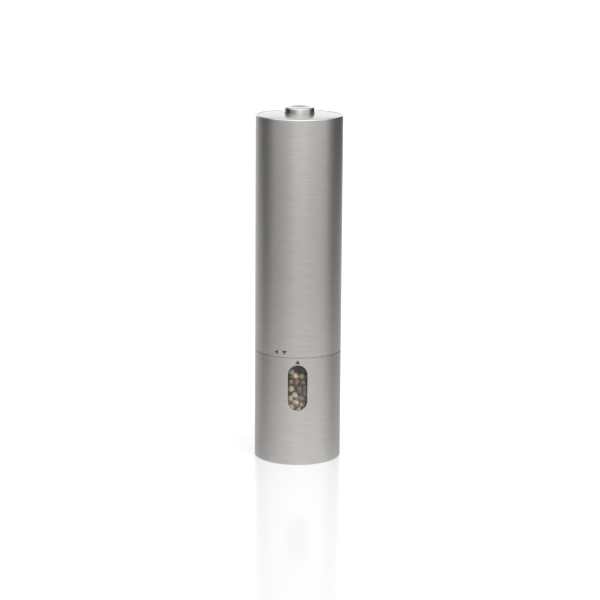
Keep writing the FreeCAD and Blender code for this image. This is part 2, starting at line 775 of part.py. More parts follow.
def output_bush():
    bush = disc(BUSH_R, FLOOR_Z, FLOOR_TOP)
    collar = disc(BUSH_R + BUSH_COLLAR_W, FLOOR_TOP, FLOOR_TOP + BUSH_COLLAR_T)
    bore = disc(BUSH_R - BUSH_WALL, FLOOR_Z, FLOOR_TOP + BUSH_COLLAR_T)
    return bush.fuse(collar).cut(bore).removeSplitter()


def output_carrier():
    body = disc(CARRIER_R, OUTPUT_Z, OUTPUT_TOP).fuse(disc(OUTPUT_HUB_R, SOCKET_Z, OUTPUT_Z))
    socket = prism(4, SHAFT_SIDE + 2 * SLIP, SOCKET_Z, OUTPUT_Z)
    return body.cut([socket, *pin_holes(OUTPUT_Z, OUTPUT_TOP)]).removeSplitter()


def pin_holes(z0, z1):
    return [disc(PIN_D / 2 + PRESS_GAP, z0, z1, polar(PLANET_ORBIT_R, at)) for at in ORBIT_DEG]


def planet_pins(z0, z1):
    return group([disc(PIN_D / 2, z0, z1, polar(PLANET_ORBIT_R, at)) for at in ORBIT_DEG])


def first_carrier():
    plate = disc(CARRIER_R, FIRST_Z, FIRST_TOP).cut(pin_holes(FIRST_Z, FIRST_TOP))
    return plate.fuse(spur_gear(SUN_TEETH, LOW_PLANET_Z, FIRST_Z)).removeSplitter()


def ring_gear():
    space = math.pi * GEAR_MODULE / 2 + TOOTH_SLACK
    teeth = gear_wire(
        RING_TEETH, DEDENDUM * GEAR_MODULE, ADDENDUM * GEAR_MODULE, space, 180.0 / RING_TEETH
    )
    rim = Part.Wire(Part.makeCircle(RING_OUT_R))
    face = Part.makeFace([rim, teeth], "Part::FaceMakerBullseye")
    face.translate(UP * RING_Z)
    return face.extrude(UP * (RING_TOP - RING_Z))


# Upper unit: motor


def motor_pinion():
    gear = spur_gear(SUN_TEETH, HIGH_PLANET_Z, HIGH_PLANET_TOP)
    return gear.cut(disc(MOTOR_SHAFT_D / 2 + PRESS_GAP, HIGH_PLANET_Z, HIGH_PLANET_TOP))


def motor_shaft():
    return disc(MOTOR_SHAFT_D / 2, HIGH_PLANET_Z, MOTOR_TOP - MOTOR_CAN_WALL)


def motor_body(inset, z0, z1):
    """The motor's section, round with two flats, drawn in by an inset."""
    flats = block(MOTOR_FLATS - 2 * inset, MOTOR_D, z0, z1)
    return disc(MOTOR_D / 2 - inset, z0, z1).common(flats)


def motor_can():
    can = motor_body(0, MOTOR_Z, MOTOR_CAN_TOP)
    can = can.cut(motor_body(MOTOR_CAN_WALL, MOTOR_Z + MOTOR_CAN_WALL, MOTOR_CAN_TOP))
    can = can.fuse(disc(MOTOR_BOSS_D / 2, MOTOR_Z - MOTOR_BOSS_H, MOTOR_Z))
    holes = [disc(MOTOR_SHAFT_D / 2 + RUN_GAP, MOTOR_Z - MOTOR_BOSS_H, MOTOR_CAN_TOP)]
    holes += [screw_hole(at, MOTOR_Z, MOTOR_Z + MOTOR_CAN_WALL) for at in motor_screw_places()]
    return can.cut(holes).removeSplitter()


def motor_screw_places():
    half = MOTOR_SCREW_SPACING / 2
    return [FreeCAD.Vector(0, half, 0), FreeCAD.Vector(0, -half, 0)]


def motor_end_bell():
    bell = motor_body(0, MOTOR_CAN_TOP, MOTOR_TOP)
    return bell.cut(disc(MOTOR_SHAFT_D / 2 + RUN_GAP, MOTOR_CAN_TOP, MOTOR_TOP - MOTOR_CAN_WALL))


def motor_terminals():
    blades = []
    for side in (1, -1):
        at = FreeCAD.Vector(0, side * TERMINAL_Y, 0)
        blades.append(block(TERMINAL_W, TERMINAL_T, MOTOR_TOP, TERMINAL_TOP, at))
    return group(blades)


def motor_magnets():
    out_r = MOTOR_D / 2 - MOTOR_CAN_WALL - PRESS_GAP
    foot = (MOTOR_Z + MOTOR_CAN_TOP - MAGNET_H) / 2
    return group(
        [sector(out_r - MAGNET_T, out_r, foot, foot + MAGNET_H, at, MAGNET_SPAN_DEG) for at in (90.0, 270.0)]
    )


def motor_armature():
    foot = (MOTOR_Z + MOTOR_CAN_TOP - ARMATURE_H) / 2
    top = foot + ARMATURE_H
    stack = disc(ARMATURE_D / 2, foot, top)
    slots = []
    for i in range(ARMATURE_SLOTS):
        slot = block(ARMATURE_D, ARMATURE_SLOT_W, foot, top, FreeCAD.Vector(ARMATURE_D / 2, 0, 0))
        slot.rotate(CENTRE, UP, 360.0 * i / ARMATURE_SLOTS)
        slots.append(slot.cut(disc(ARMATURE_CORE_D / 2, foot, top)))
    stack = stack.cut(slots).fuse(disc(COMMUTATOR_D / 2, top, top + COMMUTATOR_H))
    return stack.cut(disc(MOTOR_SHAFT_D / 2 + PRESS_GAP, foot, top + COMMUTATOR_H)).removeSplitter()


def motor_plate():
    plate = turned(
        (MOTOR_BOSS_D / 2 + SLIP, PLATE_Z),
        (RING_ROOT_R, PLATE_Z),
        (RING_ROOT_R, RING_TOP),
        (RING_OUT_R, RING_TOP),
        (RING_OUT_R, PLATE_Z),
        (INNER_R, PLATE_Z),
        (INNER_R, MOTOR_Z),
        (MOTOR_BOSS_D / 2 + SLIP, MOTOR_Z),
    )
    cuts = [screw_hole(at, PLATE_Z, MOTOR_Z) for at in [*motor_screw_places(), *plate_screw_places()]]
    cuts += [countersink(at, SLIP) for at in plate_screw_places()]
    return plate.cut(cuts)


def countersink(at, room):
    """A flat screw head let into the top of the motor plate, with room around it."""
    height = (SCREW_HEAD_D - SCREW_D) / 2
    place = FreeCAD.Vector(at.x, at.y, MOTOR_Z - height)
    return Part.makeCone(SCREW_D / 2 + room, SCREW_HEAD_D / 2 + room, height, place)


def plate_screws():
    screws = []
    for at in plate_screw_places():
        shank = disc(SCREW_D / 2, PLATE_Z - PLATE_SCREW_L, MOTOR_Z - (SCREW_HEAD_D - SCREW_D) / 2, at)
        screws.append(shank.fuse(countersink(at, 0.0)).removeSplitter())
    return group(screws)


def motor_screws():
    return group([pan_screw(at.x, at.y, PLATE_Z, MOTOR_SCREW_L, 1) for at in motor_screw_places()])


def lead_notches(z0, z1):
    """The open notches in a disc that the two leads bend and run up through."""
    foot_y = LEAD_R - LEAD_BEND_R
    middle_y = (foot_y + INNER_R) / 2
    places = [FreeCAD.Vector(0, side * middle_y, 0) for side in (1, -1)]
    return [block(LEAD_NOTCH_W, INNER_R - foot_y, z0, z1, at) for at in places]


def holder_screw_places():
    return [FreeCAD.Vector(side * HOLDER_SCREW_X, 0, 0) for side in (1, -1)]


def motor_cover():
    cup = disc(COVER_R, MOTOR_Z, HOLDER_Z).cut(disc(COVER_IN_R, MOTOR_Z, LID_Z))
    holes = [screw_hole(at, LID_Z, HOLDER_Z) for at in holder_screw_places()]
    return cup.cut([*lead_notches(LID_Z, HOLDER_Z), *holes])


# Upper unit: cells, contacts and leads


def battery_holder():
    wall_r = HOLDER_R - HOLDER_WALL
    parts = [disc(HOLDER_R, CONTACT_TOP, HOLDER_TOP), disc(HOLDER_COLUMN_D / 2, CONTACT_Z, CONTACT_TOP)]
    for middle in (0.0, 180.0):
        parts.append(sector(wall_r, HOLDER_R, CONTACT_Z, CONTACT_TOP, middle, HOLDER_WALL_DEG))
    cage = disc(HOLDER_R, HOLDER_Z, CONTACT_Z).fuse(parts)
    cuts = lead_notches(HOLDER_Z, CONTACT_Z) + lead_notches(CONTACT_TOP, HOLDER_TOP)
    cuts += [screw_hole(at, HOLDER_Z, CONTACT_Z) for at in holder_screw_places()]
    leg_r = SWITCH_LEG_D / 2 + RUN_GAP
    cuts += [disc(leg_r, CONTACT_TOP, HOLDER_TOP, switch_leg_place(side)) for side in (1, -1)]
    return cage.cut(cuts).removeSplitter()


def holder_screws():
    return group([pan_screw(at.x, at.y, CONTACT_Z, HOLDER_SCREW_L, -1) for at in holder_screw_places()])


def cell_place(cell):
    return FreeCAD.Vector(cell[0] * CELL_XY, cell[1] * CELL_XY, 0)


def batteries():
    cells = []
    for cell in CELLS:
        at, upright = cell_place(cell), cell[2]
        can_z = CELL_Z if upright else CELL_Z + CELL_NUB_H
        can_top = can_z + CELL_H - CELL_NUB_H
        nub_z, nub_top = (can_top, CELL_TOP) if upright else (CELL_Z, can_z)
        can = disc(CELL_D / 2, can_z, can_top, at)
        cells.append(can.fuse(disc(CELL_NUB_D / 2, nub_z, nub_top, at)).removeSplitter())
    return group(cells)


def contact_strip(cells, top, leg=None):
    """A flat strip under or over the cells given, with a raised pad at each positive end.

    A strip that ends the row of cells also reaches in to a leg of the switch.
    """
    spots = [cell_place(cell) for cell in cells]
    if leg:
        spots.append(leg + (spots[0] - leg).normalize() * STRIP_W / math.sqrt(2))
    z0 = CONTACT_TOP - STRIP_T if top else CONTACT_Z
    low = FreeCAD.Vector(min(s.x for s in spots), min(s.y for s in spots), 0)
    high = FreeCAD.Vector(max(s.x for s in spots), max(s.y for s in spots), 0)
    strip = block(high.x - low.x + STRIP_W, high.y - low.y + STRIP_W, z0, z0 + STRIP_T, (low + high) * 0.5)
    for cell in cells:
        if cell[2] == top:
            foot = CELL_TOP + PRESS_GAP if top else z0
            head = z0 + STRIP_T if top else CELL_Z - PRESS_GAP
            strip = strip.fuse(disc(PAD_D / 2, foot, head, cell_place(cell)))
    return strip.removeSplitter()


def contact_strips():
    first, second, third, fourth = CELLS
    return group(
        [
            contact_strip([first, second], False),
            contact_strip([third, fourth], False),
            contact_strip([second, third], True),
            contact_strip([first], True, switch_leg_place(1)),
            contact_strip([fourth], True, switch_leg_place(-1)),
        ]
    )


def contact_springs():
    springs = []
    for cell in CELLS:
        if cell[2]:
            z0, z1 = CONTACT_Z + STRIP_T, CELL_Z
            foot_r, tip_r = CONTACT_COIL_D / 2, CONTACT_TIP_D / 2
        else:
            z0, z1 = CELL_TOP, CONTACT_TOP - STRIP_T
            foot_r, tip_r = CONTACT_TIP_D / 2, CONTACT_COIL_D / 2
        spring = coil(foot_r, tip_r, z0, z1, CONTACT_TURNS, CONTACT_WIRE_D, "contact_spring")
        spring.translate(cell_place(cell))
        springs.append(spring)
    return group(springs)


def lead(side):
    """An insulated lead from a motor terminal, up beside the cells and in to the switch."""
    low_z = MOTOR_TOP + TERMINAL_H / 2
    high_z = LEAD_TOP_Z
    start_y = TERMINAL_Y + TERMINAL_T / 2
    end_y = SWITCH_SIDE / 2 + SWITCH_TERMINAL_L
    bend = LEAD_BEND_R
    slant = bend * (1 - math.sqrt(0.5))

    def at(y, z):
        return FreeCAD.Vector(0, side * y, z)

    edges = [
        Part.LineSegment(at(start_y, low_z), at(LEAD_R - bend, low_z)).toShape(),
        Part.Arc(
            at(LEAD_R - bend, low_z), at(LEAD_R - slant, low_z + slant), at(LEAD_R, low_z + bend)
        ).toShape(),
        Part.LineSegment(at(LEAD_R, low_z + bend), at(LEAD_R, high_z - bend)).toShape(),
        Part.Arc(
            at(LEAD_R, high_z - bend), at(LEAD_R - slant, high_z - slant), at(LEAD_R - bend, high_z)
        ).toShape(),
        Part.LineSegment(at(LEAD_R - bend, high_z), at(end_y, high_z)).toShape(),
    ]
    ring = Part.Wire(Part.makeCircle(LEAD_D / 2, at(start_y, low_z), FreeCAD.Vector(0, side, 0)))
    return Part.Wire(edges).makePipeShell([ring], True, False)


# Upper unit: switch, button, plate and sleeve


def switch_leg_place(side):
    return FreeCAD.Vector(SWITCH_LEG_XY, side * SWITCH_LEG_XY, 0)


def push_switch():
    body = block(SWITCH_SIDE, SWITCH_SIDE, HOLDER_TOP, SWITCH_TOP)
    for side in (1, -1):
        at = FreeCAD.Vector(0, side * (SWITCH_SIDE + SWITCH_TERMINAL_L) / 2, 0)
        tag = block(TERMINAL_W, SWITCH_TERMINAL_L, LEAD_TOP_Z, LEAD_TOP_Z + TERMINAL_T, at)
        leg = disc(SWITCH_LEG_D / 2, CONTACT_TOP, HOLDER_TOP, switch_leg_place(side))
        body = body.fuse([tag, leg])
    well_z = SWITCH_TOP - STEM_PIN_H - BUTTON_TRAVEL - SLIP
    well = disc(STEM_PIN_D / 2 + FREE_GAP, well_z, SWITCH_TOP)
    return body.cut(well).removeSplitter()


def button_flange_top():
    return dome_z(BUTTON_FLANGE_R, PLATE_T) - SLIP


def push_button():
    top = dome_z(BUTTON_R) + BUTTON_PROUD
    flange_top = button_flange_top()
    flange_z = flange_top - BUTTON_FLANGE_T
    dish_r = BUTTON_R - BUTTON_RIM
    ceiling = top - BUTTON_DISH - BUTTON_WALL
    cap = turned(
        (0.0, ceiling),
        (BUTTON_R - BUTTON_WALL, ceiling),
        (BUTTON_R - BUTTON_WALL, flange_z),
        (BUTTON_FLANGE_R, flange_z),
        (BUTTON_FLANGE_R, flange_top),
        (BUTTON_R, flange_top),
        (BUTTON_R, top),
        (0.0, top),
    )
    dish_curve = (dish_r**2 + BUTTON_DISH**2) / (2 * BUTTON_DISH)
    hollow = Part.makeSphere(dish_curve, UP * (top - BUTTON_DISH + dish_curve))
    return rounded(cap.cut(hollow), BUTTON_ROUND, (BUTTON_R, top))


def button_stem():
    top = dome_z(BUTTON_R) + BUTTON_PROUD - BUTTON_DISH - BUTTON_WALL
    stem = disc(STEM_D / 2, SWITCH_TOP + BUTTON_TRAVEL + FREE_GAP, top)
    pin = disc(STEM_PIN_D / 2, SWITCH_TOP - STEM_PIN_H, SWITCH_TOP + BUTTON_TRAVEL + FREE_GAP)
    cap = disc(BUTTON_R - BUTTON_WALL - PRESS_GAP, top - BUTTON_WALL, top)
    return stem.fuse([pin, cap]).removeSplitter()


def guide_z():
    return dome_z(GUIDE_OUT_R, PLATE_T) - PRESS_GAP - GUIDE_H


def button_guide():
    foot = guide_z()
    ring = tube(GUIDE_OUT_R, GUIDE_IN_R, foot, foot + GUIDE_H)
    ledge = tube(GUIDE_OUT_R, GUIDE_IN_R - GUIDE_LEDGE_W, foot, foot + GUIDE_LEDGE_T)
    return ring.fuse(ledge).removeSplitter()


def button_spring():
    foot = guide_z() + GUIDE_LEDGE_T
    top = button_flange_top() - BUTTON_FLANGE_T
    coil_r = BUTTON_R - BUTTON_WIRE_D / 2
    return coil(coil_r, coil_r, foot, top, BUTTON_COIL_TURNS, BUTTON_WIRE_D, "button_spring")


def top_plate():
    skirt_z = BODY_H - PLATE_SKIRT_H
    skirt_in_r = PLATE_R - PLATE_T
    middle_r = (BUTTON_HOLE_R + PLATE_R) / 2
    plate = turned(
        (PLATE_R, skirt_z),
        (PLATE_R, dome_z(PLATE_R)),
        ((middle_r, dome_z(middle_r)), (BUTTON_HOLE_R, dome_z(BUTTON_HOLE_R))),
        (BUTTON_HOLE_R, dome_z(BUTTON_HOLE_R, PLATE_T)),
        ((middle_r, dome_z(middle_r, PLATE_T)), (skirt_in_r, dome_z(skirt_in_r, PLATE_T))),
        (skirt_in_r, skirt_z),
    )
    return rounded(plate, PLATE_ROUND, (PLATE_R, dome_z(PLATE_R)))


def upper_sleeve():
    sleeve = tube(BODY_R, SLEEVE_IN_R, UPPER_FOOT, BODY_H)
    sleeve = rounded(sleeve, EDGE_ROUND, (BODY_R, UPPER_FOOT))
    return rounded(sleeve, TOP_RIM_ROUND, (BODY_R, BODY_H))


def nodes():
    """Every sub-part by its node name."""
    made = {
        "lower_sleeve": lower_sleeve(),
        "pepper_jar": pepper_jar(),
        "jar_collar": jar_collar(),
        "shaft_guide": shaft_guide(),
        "peppercorns": peppercorns(),
        "grinder_base": grinder_base(),
        "burr_retainer": burr_retainer(),
        "retainer_screws": retainer_screws(),
        "outer_burr": outer_burr(),
        "inner_burr": inner_burr(),
        "burr_carrier": burr_carrier(),
        "drive_shaft": drive_shaft(),
        "burr_spring": burr_spring(),
        "spring_seat": spring_seat(),
        "retaining_ring": retaining_ring(),
        "adjuster_knob": adjuster_knob(),
        "adjuster_nut": adjuster_nut(),
        "drive_housing": drive_housing(),
        "output_bush": output_bush(),
        "output_carrier": output_carrier(),
        "output_planet_pins": planet_pins(OUTPUT_Z, LOW_PLANET_TOP),
        "first_carrier": first_carrier(),
        "first_planet_pins": planet_pins(FIRST_Z, HIGH_PLANET_TOP),
        "ring_gear": ring_gear(),
        "motor_pinion": motor_pinion(),
        "motor_shaft": motor_shaft(),
        "motor_armature": motor_armature(),
        "motor_magnets": motor_magnets(),
        "motor_can": motor_can(),
        "motor_end_bell": motor_end_bell(),
        "motor_terminals": motor_terminals(),
        "motor_plate": motor_plate(),
        "plate_screws": plate_screws(),
        "motor_screws": motor_screws(),
        "motor_cover": motor_cover(),
        "battery_holder": battery_holder(),
        "holder_screws": holder_screws(),
        "batteries": batteries(),
        "contact_strips": contact_strips(),
        "contact_springs": contact_springs(),
        "lead_red": lead(1),
        "lead_black": lead(-1),
        "push_switch": push_switch(),
        "push_button": push_button(),
        "button_stem": button_stem(),
        "button_guide": button_guide(),
        "button_spring": button_spring(),
        "top_plate": top_plate(),
        "upper_sleeve": upper_sleeve(),
    }
    for number, at in enumerate(ORBIT_DEG, start=1):
        made[f"output_planet_{number}"] = planet_gear(at, LOW_PLANET_Z, LOW_PLANET_TOP)
        made[f"first_planet_{number}"] = planet_gear(at, HIGH_PLANET_Z, HIGH_PLANET_TOP)
    return made


def main():
    os.makedirs("parts", exist_ok=True)
    for name, shape in nodes().items():
        shape.exportStep(f"parts/{name}.step")


main()
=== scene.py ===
import json
import math

import bmesh
import bpy
import numpy as np
from mathutils import Matrix, Vector, noise


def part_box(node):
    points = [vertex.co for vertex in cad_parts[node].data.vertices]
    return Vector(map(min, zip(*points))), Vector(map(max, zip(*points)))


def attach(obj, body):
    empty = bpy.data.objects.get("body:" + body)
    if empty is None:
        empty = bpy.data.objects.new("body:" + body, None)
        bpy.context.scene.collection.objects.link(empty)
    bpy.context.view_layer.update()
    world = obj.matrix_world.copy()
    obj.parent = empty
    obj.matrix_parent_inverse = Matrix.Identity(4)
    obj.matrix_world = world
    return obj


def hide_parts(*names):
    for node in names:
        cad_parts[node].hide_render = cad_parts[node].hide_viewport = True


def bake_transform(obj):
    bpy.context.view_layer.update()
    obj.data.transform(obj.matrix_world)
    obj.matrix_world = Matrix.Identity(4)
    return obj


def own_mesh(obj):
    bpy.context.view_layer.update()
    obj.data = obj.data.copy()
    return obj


# Looks of the electric pepper mill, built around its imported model, in metres.
# The window faces -Y, +Z is up, and the mill stands on the floor at zero.

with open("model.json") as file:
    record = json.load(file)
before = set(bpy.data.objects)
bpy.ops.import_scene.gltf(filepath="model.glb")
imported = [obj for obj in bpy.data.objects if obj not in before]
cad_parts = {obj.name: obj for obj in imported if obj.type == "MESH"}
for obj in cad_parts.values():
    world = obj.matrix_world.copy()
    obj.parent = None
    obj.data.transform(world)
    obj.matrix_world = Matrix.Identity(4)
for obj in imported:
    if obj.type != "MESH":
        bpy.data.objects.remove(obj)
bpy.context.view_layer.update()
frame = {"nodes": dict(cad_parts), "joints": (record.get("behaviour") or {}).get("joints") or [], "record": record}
scene = bpy.context.scene

MM = 0.001

# Camera, fitted to the photograph, for a square image
CAMERA_AT = (0.0, -1.1105, 0.3333)
CAMERA_PITCH = 0.2139
CAMERA_YAW = 0.00093
CAMERA_ROLL = 0.00721
CAMERA_LENS = 117.6
CAMERA_SENSOR = 36.0

# Fineness of the meshes, and the angle from which an edge stays sharp
SEGMENTS = 192
ROUND_STEPS = 4
SHARP_DEG = 35.0
WELD = 1e-7

# Edges of the shells
EDGE_ROUND = 0.12 * MM
SEAM_CLOSE = 0.1 * MM
TOP_RIM_ROUND = 0.75 * MM
PLATE_ROUND = 0.25 * MM
PLATE_RISE = 1.0 * MM
PLATE_T = 0.8 * MM
PLATE_HOLE_ROUND = 0.2 * MM
DOME_STEPS = 12
BUTTON_DISH = 0.9 * MM
BUTTON_RIM = 1.5 * MM
BUTTON_WALL = 1.0 * MM
BUTTON_FLANGE_T = 1.0 * MM
BUTTON_ROUND = 1.0 * MM
DISH_ROUND = 0.25 * MM
DISH_STEPS = 14

# Mesh that flows round the window, in rings that a power below 1 crowds towards it
PATCH_COLUMNS = 12
PATCH_ROWS = 24
PATCH_MARGIN = 3.0 * MM
PATCH_RINGS = 6
PATCH_POWER = 0.6
WINDOW_ROUND = 0.2 * MM
WINDOW_ROUND_STEPS = 3
WINDOW_SHARP_DEG = 50.0

# Lock arrows printed either side of the seam
ARROW_W = 2.9 * MM
ARROW_H = 2.35 * MM
ARROW_GAP = 1.0 * MM
ARROW_RISE = 1.5 * MM
ARROW_STEPS = 8
PRINT_LIFT = 0.01 * MM
PRINT_T = 0.03 * MM
TURN_ARROW_DEG = 29.7

# Loose peppercorns: sizes, how they fall and push each other apart, and their wrinkles
CORN_COUNT = 780
CORN_R = (1.70 * MM, 2.05 * MM)
CORN_SEED = 11
CORN_SETTLE = 220
CORN_FALL = 0.12 * MM
CORN_PUSH = 0.4
PLAIN_CORN, FINE_CORN = 2, 3
CREASE_SCALE = 2.6
FINE_SCALE = 5.2
FINE_SHARE = 0.35
CORN_SHIFT = (3.7, 1.3, 2.1)

# Corns against the window: place across, height, kind. The kinds follow the corns at the window and are partly
# painted light: cream corns to the left paint the window's lighter left side, and brown and olive corns to the
# right paint the shade along its right edge.
CREAM, OLIVE, RED, BROWN = range(4)
FRONT_R = 1.8 * MM
FRONT_CORNS = (
    (-3.6 * MM, 54.2 * MM, OLIVE),
    (-1.3 * MM, 52.1 * MM, CREAM),
    (2.2 * MM, 51.8 * MM, OLIVE),
    (-0.4 * MM, 48.8 * MM, RED),
    (3.5 * MM, 48.2 * MM, BROWN),
    (-3.7 * MM, 44.4 * MM, CREAM),
    (1.2 * MM, 44.4 * MM, BROWN),
    (-1.5 * MM, 40.8 * MM, CREAM),
    (2.3 * MM, 39.0 * MM, BROWN),
    (-4.1 * MM, 38.7 * MM, CREAM),
    (-1.2 * MM, 36.6 * MM, CREAM),
    (2.5 * MM, 35.2 * MM, OLIVE),
    (-3.4 * MM, 33.8 * MM, CREAM),
    (0.4 * MM, 32.2 * MM, CREAM),
)

# Spread of a noise, over which roughness varies
NOISE_LOW, NOISE_HIGH = 0.3, 0.7

# Turn of stretched gloss, in whole turns
QUARTER_TURN = 0.25

# Studio: light levels by degrees round from the front, and by degrees up from the horizon
FLOOR_R = 8.0
FLOOR_GLOW = 0.39
WHITE = (1.0, 1.0, 1.0, 1.0)
BACKDROP_H = 5.0
RING_LIGHT = (
    (-180, 1.25),
    (-165, 1.00),
    (-150, 0.62),
    (-136, 0.43),
    (-124, 0.13),
    (-110, 0.02),
    (-96, 0.02),
    (-82, 0.07),
    (-66, 0.26),
    (-48, 0.31),
    (-28, 0.52),
    (-8, 0.95),
    (12, 1.00),
    (32, 0.75),
    (52, 0.66),
    (70, 0.65),
    (84, 0.34),
    (98, 0.11),
    (112, 0.03),
    (140, 0.02),
    (154, 0.20),
    (168, 1.20),
    (180, 1.25),
)
NEAR_CARD = (
    (-180, 1.05),
    (-165, 0.90),
    (-140, 0.62),
    (-96, 0.59),
    (-62, 0.70),
    (-25, 0.86),
    (10, 0.88),
    (45, 0.94),
    (75, 0.81),
    (100, 0.68),
    (140, 0.64),
    (165, 0.95),
    (180, 1.05),
)
FAR_CARD = (
    (-180, 1.05),
    (-165, 0.90),
    (-140, 0.59),
    (-124, 0.57),
    (-96, 0.26),
    (-62, 0.34),
    (10, 0.38),
    (45, 0.41),
    (75, 0.39),
    (100, 0.28),
    (126, 0.42),
    (148, 0.56),
    (165, 0.95),
    (180, 1.05),
)
CARDS = ((0.22, NEAR_CARD), (1.30, FAR_CARD))
CARD_DROP = 1.0 * MM
FRONT_CAP = ((25, 1.40), (45, 1.52), (62, 1.45), (90, 0.80))
BACK_CAP = ((25, 0.50), (45, 0.42), (62, 0.55), (90, 0.80))
CAP_BLEND_DEG = (15, 27)
CAP_TURN = (-0.4, 0.4)
KEY_AT = (0.80, -0.80, 0.35)
KEY_SIZE = 0.6
KEY_POWER = 7.0
CEILING_AT = (0.0, 0.0, 5.0)
CEILING_SIZE = 14.0
CEILING_POWER = 290.0


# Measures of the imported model


def corners(node):
    """The vertices of a CAD node as an array."""
    return np.array([v.co for v in frame["nodes"][node].data.vertices])


def radii(node):
    """The smallest and largest distance of a CAD node's vertices from the mill's axis."""
    points = corners(node)
    out = np.hypot(points[:, 0], points[:, 1])
    return float(out.min()), float(out.max())


def heights(node):
    low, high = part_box(node)
    return low.z, high.z


def window_box():
    """Half width, foot and top of the window, from the corners that it cuts in the lower sleeve."""
    foot, top = heights("lower_sleeve")
    points = corners("lower_sleeve")
    cut = points[(points[:, 2] > foot + PATCH_MARGIN) & (points[:, 2] < top - PATCH_MARGIN)]
    return float(cut[:, 0].max()), float(cut[:, 2].min()), float(cut[:, 2].max())


def joint_limit(name, unit):
    """The far end of a joint's range."""
    return next(max(joint[unit]) for joint in frame["joints"] if joint["name"] == name)


# Mesh helpers


def make_piece(name, mesh, materials, body, slot, *replaced):
    """A piece on a body, or on none if it bends between two, which may stand for CAD nodes."""
    piece = bpy.data.objects.new(name, mesh)
    scene.collection.objects.link(piece)
    for material in materials:
        mesh.materials.append(material)
    if body:
        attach(piece, body)
    if replaced:
        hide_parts(*replaced)
    return piece


def rounded_section(*points):
    """A closed half section, where a point (radius, height, round) has an arc for its corner."""
    section = []
    count = len(points)
    for i, point in enumerate(points):
        here = Vector(point[:2])
        size = point[2] if len(point) > 2 else 0.0
        if not size:
            section.append(tuple(here))
            continue
        back = (Vector(points[i - 1][:2]) - here).normalized()
        ahead = (Vector(points[(i + 1) % count][:2]) - here).normalized()
        half = back.angle(ahead) / 2
        centre = here + (back + ahead).normalized() * size / math.sin(half)
        start = here + back * size / math.tan(half) - centre
        end = here + ahead * size / math.tan(half) - centre
        for step in range(ROUND_STEPS + 1):
            way = start.slerp(end, step / ROUND_STEPS).normalized()
            section.append(tuple(centre + way * size))
    return section


def turned(name, section):
    """A mesh of revolution about the mill's axis from a closed half section."""
    bm = bmesh.new()
    rings = []
    for radius, z in section:
        ring = []
        for i in range(SEGMENTS):
            angle = 2 * math.pi * i / SEGMENTS
            ring.append(bm.verts.new((radius * math.cos(angle), radius * math.sin(angle), z)))
        rings.append(ring)
    for low, high in zip(rings, rings[1:] + rings[:1]):
        for i in range(SEGMENTS):
            j = (i + 1) % SEGMENTS
            bm.faces.new((low[i], low[j], high[j], high[i]))
    bmesh.ops.remove_doubles(bm, verts=bm.verts, dist=WELD)
    bmesh.ops.recalc_face_normals(bm, faces=bm.faces)
    return smooth_mesh(name, bm)


def smooth_mesh(name, bm):
    """The finished mesh, shaded smooth except across its sharp edges."""
    mesh = bpy.data.meshes.new(name)
    bm.to_mesh(mesh)
    bm.free()
    mesh.shade_smooth()
    mesh.set_sharp_from_angle(angle=math.radians(SHARP_DEG))
    return mesh


# Material helpers


def principled(name, roughness, metallic=0.0, **sockets):
    """A new material and its main shader, with constants set on the shader's own sockets."""
    material = bpy.data.materials.new(name)
    material.use_nodes = True
    shader = material.node_tree.nodes["Principled BSDF"]
    shader.inputs["Roughness"].default_value = roughness
    shader.inputs["Metallic"].default_value = metallic
    for socket, value in sockets.items():
        shader.inputs[socket.replace("_", " ")].default_value = value
    return material, shader


def grain(material, scale, detail=2.0):
    """Noise over the object, where the scale is counts per metre along X, Y and Z."""
    nodes, links = material.node_tree.nodes, material.node_tree.links
    place = nodes.new("ShaderNodeTexCoord")
    stretch = nodes.new("ShaderNodeMapping")
    stretch.inputs["Scale"].default_value = scale
    texture = nodes.new("ShaderNodeTexNoise")
    texture.inputs["Scale"].default_value = 1.0
    texture.inputs["Detail"].default_value = detail
    links.new(place.outputs["Object"], stretch.inputs["Vector"])
    links.new(stretch.outputs["Vector"], texture.inputs["Vector"])
    return texture.outputs["Fac"]


def tint(material, shader, share, *stops):
    """The base colour, from a ramp of (position, colour) stops over a share."""
    ramp = material.node_tree.nodes.new("ShaderNodeValToRGB")
    elements = ramp.color_ramp.elements
    while len(elements) < len(stops):
        elements.new(0.5)
    for element, (position, colour) in zip(elements, stops):
        element.position = position
        element.color = (*colour, 1.0)
    material.node_tree.links.new(share, ramp.inputs["Fac"])
    material.node_tree.links.new(ramp.outputs["Color"], shader.inputs["Base Color"])


def vary_roughness(material, shader, share, low, high):
    spread = material.node_tree.nodes.new("ShaderNodeMapRange")
    spread.inputs["From Min"].default_value = NOISE_LOW
    spread.inputs["From Max"].default_value = NOISE_HIGH
    spread.inputs["To Min"].default_value = low
    spread.inputs["To Max"].default_value = high
    material.node_tree.links.new(share, spread.inputs["Value"])
    material.node_tree.links.new(spread.outputs["Result"], shader.inputs["Roughness"])


def raise_bumps(material, shader, share, depth, strength=0.5):
    bump = material.node_tree.nodes.new("ShaderNodeBump")
    bump.inputs["Distance"].default_value = depth
    bump.inputs["Strength"].default_value = strength
    material.node_tree.links.new(share, bump.inputs["Height"])
    material.node_tree.links.new(bump.outputs["Normal"], shader.inputs["Normal"])


def stretch_gloss(material, shader):
    """Gloss drawn out up and down the mill, across lines that run round it."""
    way = material.node_tree.nodes.new("ShaderNodeTangent")
    way.direction_type = "RADIAL"
    way.axis = "Z"
    shader.inputs["Anisotropic Rotation"].default_value = QUARTER_TURN
    material.node_tree.links.new(way.outputs["Tangent"], shader.inputs["Tangent"])


# Materials of the shells


